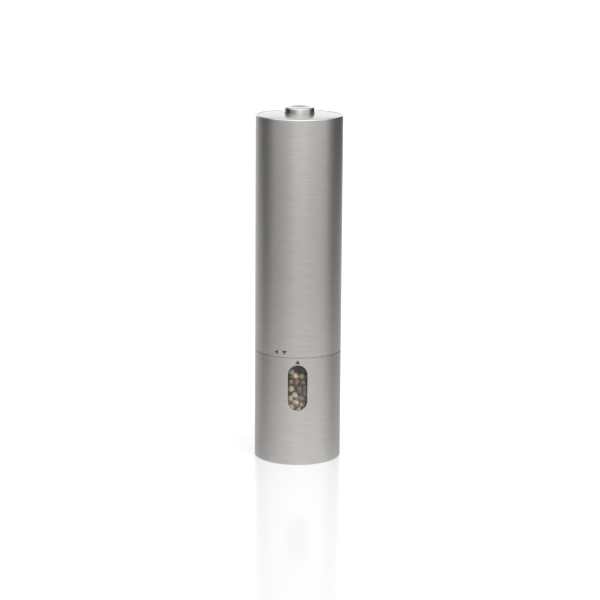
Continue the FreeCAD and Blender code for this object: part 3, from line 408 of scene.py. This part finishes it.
def brushed_steel():
    material, shader = principled("brushed_steel", 0.38, 1.0, Anisotropic=0.85)
    lines = grain(material, (35, 35, 3500), 4.0)
    streaks = grain(material, (90, 90, 1000), 3.0)
    tint(material, shader, streaks, (0.3, (0.562, 0.547, 0.530)), (0.7, (0.620, 0.606, 0.589)))
    vary_roughness(material, shader, lines, 0.34, 0.42)
    raise_bumps(material, shader, lines, 0.02 * MM, 0.25)
    stretch_gloss(material, shader)
    return material


def polished_steel():
    material, shader = principled("polished_steel", 0.08, 1.0)
    haze = grain(material, (300, 300, 300), 3.0)
    tint(material, shader, haze, (0.3, (0.79, 0.78, 0.77)), (0.7, (0.85, 0.84, 0.83)))
    vary_roughness(material, shader, haze, 0.07, 0.13)
    return material


def satin_steel(name, dark, light, roughness):
    """Steel blasted to an even fine haze."""
    material, shader = principled(name, roughness, 1.0)
    haze = grain(material, (2000, 2000, 2000), 3.0)
    tint(material, shader, haze, (0.3, dark), (0.7, light))
    vary_roughness(material, shader, haze, roughness - 0.03, roughness + 0.03)
    return material


def clear_jar():
    sockets = {"IOR": 1.49, "Specular_IOR_Level": 0.2, "Transmission_Weight": 1.0}
    material, shader = principled("clear_jar", 0.02, **sockets)
    haze = grain(material, (120, 120, 60), 2.0)
    tint(material, shader, haze, (0.3, (0.97, 0.97, 0.95)), (0.7, (0.95, 0.945, 0.92)))
    vary_roughness(material, shader, haze, 0.01, 0.05)
    return material


def arrow_ink():
    material, shader = principled("arrow_ink", 0.55)
    wear = grain(material, (2500, 2500, 2500), 2.0)
    tint(material, shader, wear, (0.3, (0.030, 0.029, 0.028)), (0.75, (0.055, 0.053, 0.050)))
    return material


def corn(name, dark, light, depth, roughness):
    """The skin of one kind of peppercorn, with its own patches, wrinkles and sheen."""
    material, shader = principled(name, roughness)
    patches = grain(material, (420, 420, 420), 4.0)
    tint(material, shader, patches, (0.32, dark), (0.66, light))
    wrinkles = grain(material, (1600, 1600, 1600), 3.0)
    raise_bumps(material, shader, wrinkles, depth, 0.7)
    return material


def corn_kinds():
    """Skins in the order cream, olive, red, brown, with how often each comes up and how deep it creases."""
    return (
        (corn("corn_cream", (0.437, 0.361, 0.219), (0.76, 0.675, 0.494), 0.06 * MM, 0.55), 0.46, 0.035),
        (corn("corn_olive", (0.238, 0.209, 0.095), (0.494, 0.447, 0.257), 0.14 * MM, 0.60), 0.22, 0.09),
        (corn("corn_red", (0.228, 0.086, 0.057), (0.399, 0.20, 0.152), 0.05 * MM, 0.45), 0.10, 0.03),
        (corn("corn_brown", (0.086, 0.055, 0.036), (0.352, 0.266, 0.19), 0.20 * MM, 0.62), 0.22, 0.12),
    )


# Materials of the pieces inside


def black_plastic():
    material, shader = principled("black_plastic", 0.45)
    mould = grain(material, (1800, 1800, 1800), 2.0)
    tint(material, shader, mould, (0.3, (0.016, 0.016, 0.017)), (0.7, (0.026, 0.026, 0.028)))
    vary_roughness(material, shader, mould, 0.38, 0.55)
    raise_bumps(material, shader, mould, 0.03 * MM, 0.4)
    return material


def white_plastic():
    material, shader = principled("white_plastic", 0.35, 0.0, Subsurface_Weight=0.05)
    flow = grain(material, (200, 200, 500), 3.0)
    tint(material, shader, flow, (0.3, (0.74, 0.73, 0.69)), (0.7, (0.83, 0.82, 0.79)))
    vary_roughness(material, shader, flow, 0.30, 0.42)
    return material


def ceramic():
    material, shader = principled("ceramic", 0.42)
    specks = grain(material, (1500, 1500, 1500), 4.0)
    speck, pale, white = (0.55, 0.52, 0.46), (0.84, 0.82, 0.77), (0.90, 0.89, 0.85)
    tint(material, shader, specks, (0.22, speck), (0.34, pale), (0.7, white))
    raise_bumps(material, shader, specks, 0.02 * MM, 0.5)
    return material


def metal(name, dark, light, roughness, scale, anisotropic=0.0):
    """A metal whose tool marks follow the counts per metre given."""
    material, shader = principled(name, roughness, 1.0, Anisotropic=anisotropic)
    marks = grain(material, scale, 3.0)
    tint(material, shader, marks, (0.3, dark), (0.7, light))
    vary_roughness(material, shader, marks, roughness - 0.06, roughness + 0.08)
    raise_bumps(material, shader, marks, 0.01 * MM, 0.3)
    return material


def magnet():
    material, shader = principled("magnet", 0.6)
    sinter = grain(material, (2200, 2200, 2200), 4.0)
    tint(material, shader, sinter, (0.3, (0.045, 0.045, 0.048)), (0.7, (0.085, 0.085, 0.09)))
    raise_bumps(material, shader, sinter, 0.05 * MM, 0.5)
    return material


def cell_wrap():
    material, shader = principled("cell_wrap", 0.3, 0.0, Coat_Weight=0.4)
    film = grain(material, (60, 60, 400), 2.0)
    tint(material, shader, film, (0.35, (0.10, 0.115, 0.13)), (0.65, (0.15, 0.165, 0.18)))
    vary_roughness(material, shader, film, 0.24, 0.36)
    return material


def insulation(name, dark, light):
    material, shader = principled(name, 0.5)
    skin = grain(material, (900, 900, 900), 2.0)
    tint(material, shader, skin, (0.3, dark), (0.7, light))
    vary_roughness(material, shader, skin, 0.42, 0.58)
    return material


def slot_materials():
    """One material for each slot of the record."""
    fine, drawn, layers = (900, 900, 900), (500, 500, 3000), (150, 150, 4000)
    return {
        "brushed_steel": brushed_steel(),
        "polished_steel": polished_steel(),
        "clear_jar": clear_jar(),
        "peppercorn": corn("corn_fill", (0.20, 0.15, 0.09), (0.40, 0.32, 0.20), 0.1 * MM, 0.6),
        "black_plastic": black_plastic(),
        "white_plastic": white_plastic(),
        "ceramic": ceramic(),
        "plain_steel": metal("plain_steel", (0.44, 0.44, 0.45), (0.55, 0.55, 0.56), 0.30, drawn, 0.4),
        "spring_steel": metal("spring_steel", (0.34, 0.34, 0.36), (0.46, 0.46, 0.48), 0.25, fine),
        "brass": metal("brass", (0.62, 0.45, 0.20), (0.76, 0.58, 0.30), 0.28, drawn, 0.4),
        "zinc_steel": metal("zinc_steel", (0.56, 0.57, 0.59), (0.68, 0.69, 0.70), 0.38, fine),
        "nickel": metal("nickel", (0.62, 0.60, 0.56), (0.74, 0.72, 0.68), 0.18, fine),
        "magnet": magnet(),
        "lamination": metal("lamination", (0.26, 0.23, 0.20), (0.40, 0.37, 0.33), 0.45, layers),
        "cell_wrap": cell_wrap(),
        "lead_red": insulation("lead_red", (0.42, 0.03, 0.025), (0.58, 0.06, 0.05)),
        "lead_black": insulation("lead_black", (0.018, 0.018, 0.018), (0.035, 0.035, 0.035)),
    }


def paint_nodes(materials):
    """Every CAD node takes the material of its slot."""
    for part in frame["record"]["subparts"]:
        mesh = frame["nodes"][part["node"]].data
        mesh.materials.clear()
        mesh.materials.append(materials[part["material_slot"]])


# Shells of the body


def upper_sleeve(material, lip):
    """The long brushed tube, with a polished lip round its top."""
    inner_r, outer_r = radii("upper_sleeve")
    foot, top = heights("upper_sleeve")
    foot -= SEAM_CLOSE
    section = rounded_section(
        (inner_r, foot),
        (outer_r, foot, EDGE_ROUND),
        (outer_r, top, TOP_RIM_ROUND),
        (inner_r, top),
    )
    mesh = turned("upper_sleeve_shell", section)
    for face in mesh.polygons:
        face.material_index = int(face.center.z > top - TOP_RIM_ROUND)
    make_piece("upper_sleeve_shell", mesh, [material, lip], "upper", "brushed_steel", "upper_sleeve")


def on_tube(radius, x, z):
    """A point of the front half of the tube, from its place across and up."""
    return Vector((x, -math.sqrt(radius * radius - x * x), z))


def window_edge(half_w, foot, top, x, z):
    """The point of the window's outline that lies nearest to a place outside it."""
    middle = Vector((0.0, min(max(z, foot + half_w), top - half_w)))
    return middle + (Vector((x, z)) - middle).normalized() * half_w


def windowed_skin(radius, foot, top):
    """The outer skin of the lower sleeve, in quads that flow round the window."""
    half_w, window_foot, window_top = window_box()
    low, high = window_foot - PATCH_MARGIN, window_top + PATCH_MARGIN
    rows = [foot, foot + PATCH_MARGIN]
    first, last = len(rows), len(rows) + PATCH_ROWS
    rows += [low + (high - low) * k / PATCH_ROWS for k in range(PATCH_ROWS + 1)]
    rows.append(top)
    bm = bmesh.new()
    grid = {}

    def vertex(column, row):
        column %= SEGMENTS
        if (column, row) not in grid:
            angle = 2 * math.pi * column / SEGMENTS
            place = (radius * math.sin(angle), -radius * math.cos(angle), rows[row])
            grid[column, row] = bm.verts.new(place)
        return grid[column, row]

    def in_patch(column, row):
        return -PATCH_COLUMNS <= column < PATCH_COLUMNS and first <= row < last

    for column in range(-SEGMENTS // 2, SEGMENTS // 2):
        for row in range(len(rows) - 1):
            if not in_patch(column, row):
                low_edge = vertex(column, row), vertex(column + 1, row)
                high_edge = vertex(column + 1, row + 1), vertex(column, row + 1)
                bm.faces.new(low_edge + high_edge)

    side = PATCH_COLUMNS
    rim = [vertex(c, first) for c in range(-side, side)]
    rim += [vertex(side, r) for r in range(first, last)]
    rim += [vertex(c, last) for c in range(side, -side, -1)]
    rim += [vertex(-side, r) for r in range(last, first, -1)]
    outside = rim
    for ring in range(1, PATCH_RINGS + 1):
        share = (ring / PATCH_RINGS) ** PATCH_POWER
        inside = []
        for corner in rim:
            here = Vector((corner.co.x, corner.co.z))
            spot = here.lerp(window_edge(half_w, window_foot, window_top, *here), share)
            inside.append(bm.verts.new(on_tube(radius, *spot)))
        for i in range(len(rim)):
            j = (i + 1) % len(rim)
            bm.faces.new((outside[i], outside[j], inside[j], inside[i]))
        outside = inside
    bmesh.ops.recalc_face_normals(bm, faces=bm.faces)
    return smooth_mesh("lower_sleeve_shell", bm)


def lower_sleeve(material):
    inner_r, outer_r = radii("lower_sleeve")
    foot, top = heights("lower_sleeve")
    mesh = windowed_skin(outer_r, foot, top + SEAM_CLOSE)
    piece = make_piece("lower_sleeve_shell", mesh, [material], "container", "brushed_steel", "lower_sleeve")
    wall = piece.modifiers.new("wall", "SOLIDIFY")
    wall.thickness = outer_r - inner_r
    wall.offset = -1.0
    edges = piece.modifiers.new("edges", "BEVEL")
    edges.width = WINDOW_ROUND
    edges.segments = WINDOW_ROUND_STEPS
    edges.limit_method = "ANGLE"
    edges.angle_limit = math.radians(WINDOW_SHARP_DEG)
    edges.harden_normals = True


def top_plate(material):
    hole_r, outer_r = radii("top_plate")
    foot, top = heights("top_plate")
    dome_r = (outer_r**2 - hole_r**2) / (2 * PLATE_RISE)
    crown = top + dome_r - math.sqrt(dome_r**2 - hole_r**2)

    def dome(radius, drop=0.0):
        return (radius, crown - dome_r + math.sqrt(dome_r**2 - radius**2) - drop)

    spread = [hole_r + (outer_r - hole_r) * k / DOME_STEPS for k in range(DOME_STEPS + 1)]
    inside_r = outer_r - PLATE_T
    under = [dome(r, PLATE_T) for r in spread if r < inside_r]
    section = rounded_section(
        *under,
        dome(inside_r, PLATE_T),
        (inside_r, foot),
        (outer_r, foot),
        (*dome(outer_r), PLATE_ROUND),
        *[dome(r) for r in reversed(spread[1:-1])],
        (*dome(hole_r), PLATE_HOLE_ROUND),
    )
    mesh = turned("top_plate_shell", section)
    make_piece("top_plate_shell", mesh, [material], "upper", "polished_steel", "top_plate")


def push_button(material):
    flange_r = radii("push_button")[1]
    foot, top = heights("push_button")
    cap_r = radii("button_spring")[1]
    dish_r = cap_r - BUTTON_RIM
    curve = (dish_r**2 + BUTTON_DISH**2) / (2 * BUTTON_DISH)

    def dish(radius):
        return (radius, top - BUTTON_DISH + curve - math.sqrt(curve**2 - radius**2))

    ceiling = top - BUTTON_DISH - BUTTON_WALL
    section = rounded_section(
        (0.0, ceiling),
        (cap_r - BUTTON_WALL, ceiling),
        (cap_r - BUTTON_WALL, foot),
        (flange_r, foot),
        (flange_r, foot + BUTTON_FLANGE_T),
        (cap_r, foot + BUTTON_FLANGE_T),
        (cap_r, top, BUTTON_ROUND),
        (*dish(dish_r), DISH_ROUND),
        *[dish(dish_r * k / DISH_STEPS) for k in range(DISH_STEPS - 1, -1, -1)],
    )
    mesh = turned("push_button_cap", section)
    make_piece("push_button_cap", mesh, [material], "button", "polished_steel", "push_button")


def jar_wall(material):
    inner_r, outer_r = radii("pepper_jar")
    foot, top = heights("pepper_jar")
    section = rounded_section(
        (inner_r, foot, EDGE_ROUND),
        (outer_r, foot, EDGE_ROUND),
        (outer_r, top, EDGE_ROUND),
        (inner_r, top, EDGE_ROUND),
    )
    mesh = turned("clear_jar_wall", section)
    make_piece("clear_jar_wall", mesh, [material], "container", "clear_jar", "pepper_jar")


# Springs that a joint presses together


def spring_wire(node):
    """A copy of a CAD spring's mesh, cleared of its materials."""
    mesh = frame["nodes"][node].data.copy()
    mesh.materials.clear()
    return mesh


def button_spring(material):
    """The spring under the button, on the upper body, with a mesh of its own."""
    mesh = spring_wire("button_spring")
    piece = make_piece("button_coil", mesh, [material], "upper", "spring_steel", "button_spring")
    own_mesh(piece)


def burr_spring(material):
    """The spring on the burr's crown, held at its top by the shaft and at its foot by the burr."""
    mesh = spring_wire("burr_spring")
    piece = make_piece("burr_coil", mesh, [material], None, "spring_steel", "burr_spring")
    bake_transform(piece)


# Lock arrows


def arrow(name, body, material, left_deg, foot, way):
    """A small printed triangle on the tube that points up, down or left."""
    radius = radii("upper_sleeve")[1] + PRINT_LIFT
    half_w, height = ARROW_W / 2, ARROW_H
    shapes = {
        "up": ((-half_w, 0.0), (half_w, 0.0), (0.0, height)),
        "down": ((half_w, height), (-half_w, height), (0.0, 0.0)),
        "left": ((height / 2, 0.0), (height / 2, height), (-height / 2, height / 2)),
    }
    a, b, c = (Vector(point) for point in shapes[way])
    bm = bmesh.new()
    grid = {}
    for i in range(ARROW_STEPS + 1):
        for j in range(ARROW_STEPS + 1 - i):
            flat = a + (b - a) * i / ARROW_STEPS + (c - a) * j / ARROW_STEPS
            angle = flat.x / radius - math.radians(left_deg)
            place = (radius * math.sin(angle), -radius * math.cos(angle), foot + flat.y)
            grid[i, j] = bm.verts.new(place)
    for i in range(ARROW_STEPS):
        for j in range(ARROW_STEPS - i):
            bm.faces.new((grid[i, j], grid[i + 1, j], grid[i, j + 1]))
            if i + j < ARROW_STEPS - 1:
                bm.faces.new((grid[i + 1, j], grid[i + 1, j + 1], grid[i, j + 1]))
    piece = make_piece(name, smooth_mesh(name, bm), [material], body, "black_plastic")
    ink = piece.modifiers.new("ink", "SOLIDIFY")
    ink.thickness = PRINT_T
    ink.offset = -1.0


def lock_arrows():
    ink = arrow_ink()
    below = heights("lower_sleeve")[1] - ARROW_GAP - ARROW_H
    above = heights("upper_sleeve")[0] + ARROW_RISE
    arrow("lock_mark", "container", ink, 0.0, below, "up")
    arrow("open_mark", "upper", ink, joint_limit("housing_twist", "range_deg"), above, "down")
    arrow("turn_mark", "upper", ink, TURN_ARROW_DEG, above, "left")


# Peppercorns


def settled_corns():
    """Centres and radii of corns that have been let fall and pushed apart, round those at the window."""
    rng = np.random.default_rng(CORN_SEED)
    inner_r = radii("peppercorns")[0]
    jar_r = radii("pepper_jar")[0]
    foot, top = heights("peppercorns")
    size = rng.uniform(*CORN_R, CORN_COUNT)
    size[: len(FRONT_CORNS)] = FRONT_R
    front = [on_tube(jar_r - FRONT_R, across, height) for across, height, _ in FRONT_CORNS]
    turn = rng.uniform(0, 2 * math.pi, CORN_COUNT)
    out = np.sqrt(rng.uniform(inner_r**2, jar_r**2, CORN_COUNT))
    spot = np.stack([out * np.cos(turn), out * np.sin(turn), rng.uniform(foot, top, CORN_COUNT)], axis=1)
    reach = size[:, None] + size[None, :]
    for step in range(CORN_SETTLE):
        spot[: len(front)] = front
        spot[:, 2] -= CORN_FALL * (1 - step / CORN_SETTLE)
        apart = spot[:, None, :] - spot[None, :, :]
        gap = np.linalg.norm(apart, axis=2)
        np.fill_diagonal(gap, 1.0)
        push = np.clip(reach - gap, 0, None) / gap * CORN_PUSH
        spot += (apart * push[:, :, None]).sum(axis=1)
        out = np.hypot(spot[:, 0], spot[:, 1])
        held = np.clip(out, inner_r + size, jar_r - size)
        spot[:, :2] *= (held / out)[:, None]
        spot[:, 2] = np.clip(spot[:, 2], foot + size, top - size)
    spot[: len(front)] = front
    return spot, size


def corn_ball(fineness):
    """Corners and faces of a unit ball of small triangles."""
    bm = bmesh.new()
    bmesh.ops.create_icosphere(bm, subdivisions=fineness, radius=1.0)
    points = np.array([v.co for v in bm.verts])
    faces = np.array([[v.index for v in face.verts] for face in bm.faces])
    bm.free()
    return points, faces


def wrinkled(points, seed, depth):
    """Ball points drawn in along creases that differ from corn to corn."""
    shift = Vector([seed * step for step in CORN_SHIFT])
    creases = np.array([abs(noise.noise(Vector(p) * CREASE_SCALE + shift)) for p in points])
    fine = np.array([noise.noise(Vector(p) * FINE_SCALE - shift) for p in points])
    scale = 1.0 - depth * (1.0 - 2.0 * creases) + FINE_SHARE * depth * fine
    return points * np.minimum(scale, 1.0)[:, None]


def peppercorns():
    """Separate corns of four kinds, finer where they lie behind the window."""
    skins, shares, depths = zip(*corn_kinds())
    rng = np.random.default_rng(CORN_SEED + 1)
    choice = rng.choice(len(skins), CORN_COUNT, p=shares)
    choice[: len(FRONT_CORNS)] = [kind for _, _, kind in FRONT_CORNS]
    spots, sizes = settled_corns()
    half_w = window_box()[0]
    front_y = -2 * half_w
    fine, plain = corn_ball(FINE_CORN), corn_ball(PLAIN_CORN)
    verts, faces, looks = [], [], []
    for i, spot in enumerate(spots):
        behind_window = abs(spot[0]) < half_w + CORN_R[1] and spot[1] < front_y
        # Corns behind the window other than the placed ones are all made brown: painted shade in the gaps between
        # the window corns and along the window's right edge.
        between_as_shade = behind_window and i >= len(FRONT_CORNS)
        kind = BROWN if between_as_shade else int(choice[i])
        ball, ball_faces = fine if behind_window else plain
        faces.extend((ball_faces + len(verts)).tolist())
        verts.extend((wrinkled(ball, i + 1, depths[kind]) * sizes[i] + spot).tolist())
        looks.extend([kind] * len(ball_faces))
    mesh = bpy.data.meshes.new("loose_peppercorns")
    mesh.from_pydata(verts, [], faces)
    mesh.shade_smooth()
    mesh.polygons.foreach_set("material_index", looks)
    make_piece("loose_peppercorns", mesh, skins, "container", "peppercorn", "peppercorns")


# Light helpers


def light_ramp(nodes, stops):
    """A ramp of grey levels over positions from 0 to 1."""
    ramp = nodes.new("ShaderNodeValToRGB")
    ramp.color_ramp.interpolation = "EASE"
    elements = ramp.color_ramp.elements
    while len(elements) < len(stops):
        elements.new(0.5)
    for element, (position, level) in zip(elements, stops):
        element.position = position
        element.color = (level, level, level, 1.0)
    return ramp


def ring_levels(nodes, links, place, levels):
    """Light levels by the angle round the mill's axis, counted from the front."""
    split = nodes.new("ShaderNodeSeparateXYZ")
    links.new(place, split.inputs["Vector"])
    front = nodes.new("ShaderNodeMath")
    front.operation = "MULTIPLY"
    front.inputs[1].default_value = -1.0
    links.new(split.outputs["Y"], front.inputs[0])
    turn = nodes.new("ShaderNodeMath")
    turn.operation = "ARCTAN2"
    links.new(split.outputs["X"], turn.inputs[0])
    links.new(front.outputs["Value"], turn.inputs[1])
    share = nodes.new("ShaderNodeMapRange")
    share.inputs["From Min"].default_value = -math.pi
    share.inputs["From Max"].default_value = math.pi
    links.new(turn.outputs["Value"], share.inputs["Value"])
    ramp = light_ramp(nodes, [(0.5 + degrees / 360, level) for degrees, level in levels])
    links.new(share.outputs["Result"], ramp.inputs["Fac"])
    return ramp.outputs["Color"]


def smooth_share(nodes, links, value, low, high):
    """A share that goes smoothly from 0 to 1 between two values."""
    share = nodes.new("ShaderNodeMapRange")
    share.interpolation_type = "SMOOTHSTEP"
    share.inputs["From Min"].default_value = low
    share.inputs["From Max"].default_value = high
    links.new(value, share.inputs["Value"])
    return share.outputs["Result"]


def mixed(nodes, links, share, first, second):
    blend = nodes.new("ShaderNodeMix")
    blend.data_type = "RGBA"
    links.new(share, blend.inputs["Factor"])
    links.new(first, blend.inputs["A"])
    links.new(second, blend.inputs["B"])
    return blend.outputs["Result"]


# Studio


def floor_material():
    """A pale glossy floor that glows a little, so that the mill barely shades it."""
    material, shader = principled("floor", 0.16, 0.0, Emission_Strength=FLOOR_GLOW, Emission_Color=WHITE)
    mottle = grain(material, (6, 6, 6), 2.0)
    tint(material, shader, mottle, (0.3, (0.44, 0.44, 0.44)), (0.7, (0.45, 0.45, 0.45)))
    return material


def glow_material(name):
    """A material that only gives off light, with its tree and the shader that does so."""
    material = bpy.data.materials.new(name)
    material.use_nodes = True
    nodes, links = material.node_tree.nodes, material.node_tree.links
    nodes.remove(nodes["Principled BSDF"])
    glow = nodes.new("ShaderNodeEmission")
    links.new(glow.outputs["Emission"], nodes["Material Output"].inputs["Surface"])
    return material, nodes, links, glow


def card_material(name, levels):
    """The glow of the white table top as the steel mirrors it."""
    material, nodes, links, glow = glow_material(name)
    place = nodes.new("ShaderNodeTexCoord")
    links.new(ring_levels(nodes, links, place.outputs["Object"], levels), glow.inputs["Color"])
    return material


def stage_piece(name, bm, material):
    mesh = bpy.data.meshes.new(name)
    bm.to_mesh(mesh)
    bm.free()
    mesh.materials.append(material)
    piece = bpy.data.objects.new(name, mesh)
    scene.collection.objects.link(piece)
    return piece


def flat_disc(name, radius, z, material):
    bm = bmesh.new()
    bmesh.ops.create_circle(bm, cap_ends=True, segments=SEGMENTS, radius=radius)
    bmesh.ops.translate(bm, verts=bm.verts, vec=(0, 0, z))
    return stage_piece(name, bm, material)


def seen_by(piece, camera, glossy):
    """Limits a stage piece to the camera's own view or to the steel's reflections."""
    piece.visible_camera = camera
    piece.visible_glossy = glossy
    piece.visible_diffuse = False
    piece.visible_transmission = False
    piece.visible_shadow = glossy


def studio_floor():
    """A white floor that runs up into a white wall, with cards for how the steel mirrors them."""
    floor = flat_disc("floor", FLOOR_R, 0.0, floor_material())
    floor.visible_glossy = False
    floor.visible_shadow = False
    bm = bmesh.new()
    bmesh.ops.create_cone(bm, segments=SEGMENTS, radius1=FLOOR_R, radius2=FLOOR_R, depth=BACKDROP_H)
    bmesh.ops.translate(bm, verts=bm.verts, vec=(0, 0, BACKDROP_H / 2))
    wall = stage_piece("backdrop", bm, glow_material("backdrop")[0])
    seen_by(wall, camera=True, glossy=False)
    for i, (radius, levels) in enumerate(CARDS, start=1):
        name = f"floor_card_{i}"
        card = flat_disc(name, radius, -i * CARD_DROP, card_material(name, levels))
        seen_by(card, camera=False, glossy=True)


def studio_world():
    """Soft light all round: bright before and behind the mill, dim at its sides, softer overhead."""
    world = bpy.data.worlds.new("studio")
    scene.world = world
    world.use_nodes = True
    nodes, links = world.node_tree.nodes, world.node_tree.links
    place = nodes.new("ShaderNodeTexCoord")
    split = nodes.new("ShaderNodeSeparateXYZ")
    links.new(place.outputs["Generated"], split.inputs["Vector"])
    ring = ring_levels(nodes, links, place.outputs["Generated"], RING_LIGHT)
    caps = []
    for levels in (FRONT_CAP, BACK_CAP):
        ramp = light_ramp(nodes, [(math.sin(math.radians(up)), level) for up, level in levels])
        links.new(split.outputs["Z"], ramp.inputs["Fac"])
        caps.append(ramp.outputs["Color"])
    behind = smooth_share(nodes, links, split.outputs["Y"], *CAP_TURN)
    cap = mixed(nodes, links, behind, *caps)
    low, high = (math.sin(math.radians(up)) for up in CAP_BLEND_DEG)
    above = smooth_share(nodes, links, split.outputs["Z"], low, high)
    links.new(mixed(nodes, links, above, ring, cap), nodes["Background"].inputs["Color"])


def softbox(name, at, size, power):
    """A square soft light aimed at the mill, for what doesn't mirror, such as the floor and the corns."""
    light = bpy.data.lights.new(name, "AREA")
    light.shape = "SQUARE"
    light.size = size
    light.energy = power
    box = bpy.data.objects.new(name, light)
    scene.collection.objects.link(box)
    box.location = at
    aim = Vector((0, 0, heights("upper_sleeve")[1] / 2)) - Vector(at)
    box.rotation_euler = aim.to_track_quat("-Z", "Y").to_euler()
    box.visible_camera = False
    box.visible_glossy = False


def photo_camera():
    data = bpy.data.cameras.new("camera")
    data.lens = CAMERA_LENS
    data.sensor_width = CAMERA_SENSOR
    data.dof.use_dof = False
    camera = bpy.data.objects.new("camera", data)
    scene.collection.objects.link(camera)
    aim = Matrix.Rotation(-CAMERA_YAW, 4, "Z") @ Matrix.Rotation(math.pi / 2 - CAMERA_PITCH, 4, "X")
    camera.matrix_world = Matrix.Translation(CAMERA_AT) @ aim @ Matrix.Rotation(CAMERA_ROLL, 4, "Z")
    scene.camera = camera


materials = slot_materials()
paint_nodes(materials)
plate_steel = satin_steel("plate_steel", (0.60, 0.59, 0.585), (0.645, 0.635, 0.63), 0.24)
button_steel = satin_steel("button_steel", (0.71, 0.70, 0.69), (0.77, 0.76, 0.75), 0.19)
upper_sleeve(materials["brushed_steel"], materials["polished_steel"])
lower_sleeve(materials["brushed_steel"])
top_plate(plate_steel)
push_button(button_steel)
jar_wall(materials["clear_jar"])
button_spring(materials["spring_steel"])
burr_spring(materials["spring_steel"])
lock_arrows()
peppercorns()
studio_floor()
studio_world()
softbox("key", KEY_AT, KEY_SIZE, KEY_POWER)
softbox("ceiling", CEILING_AT, CEILING_SIZE, CEILING_POWER)
photo_camera()
scene.view_settings.view_transform = "Standard"
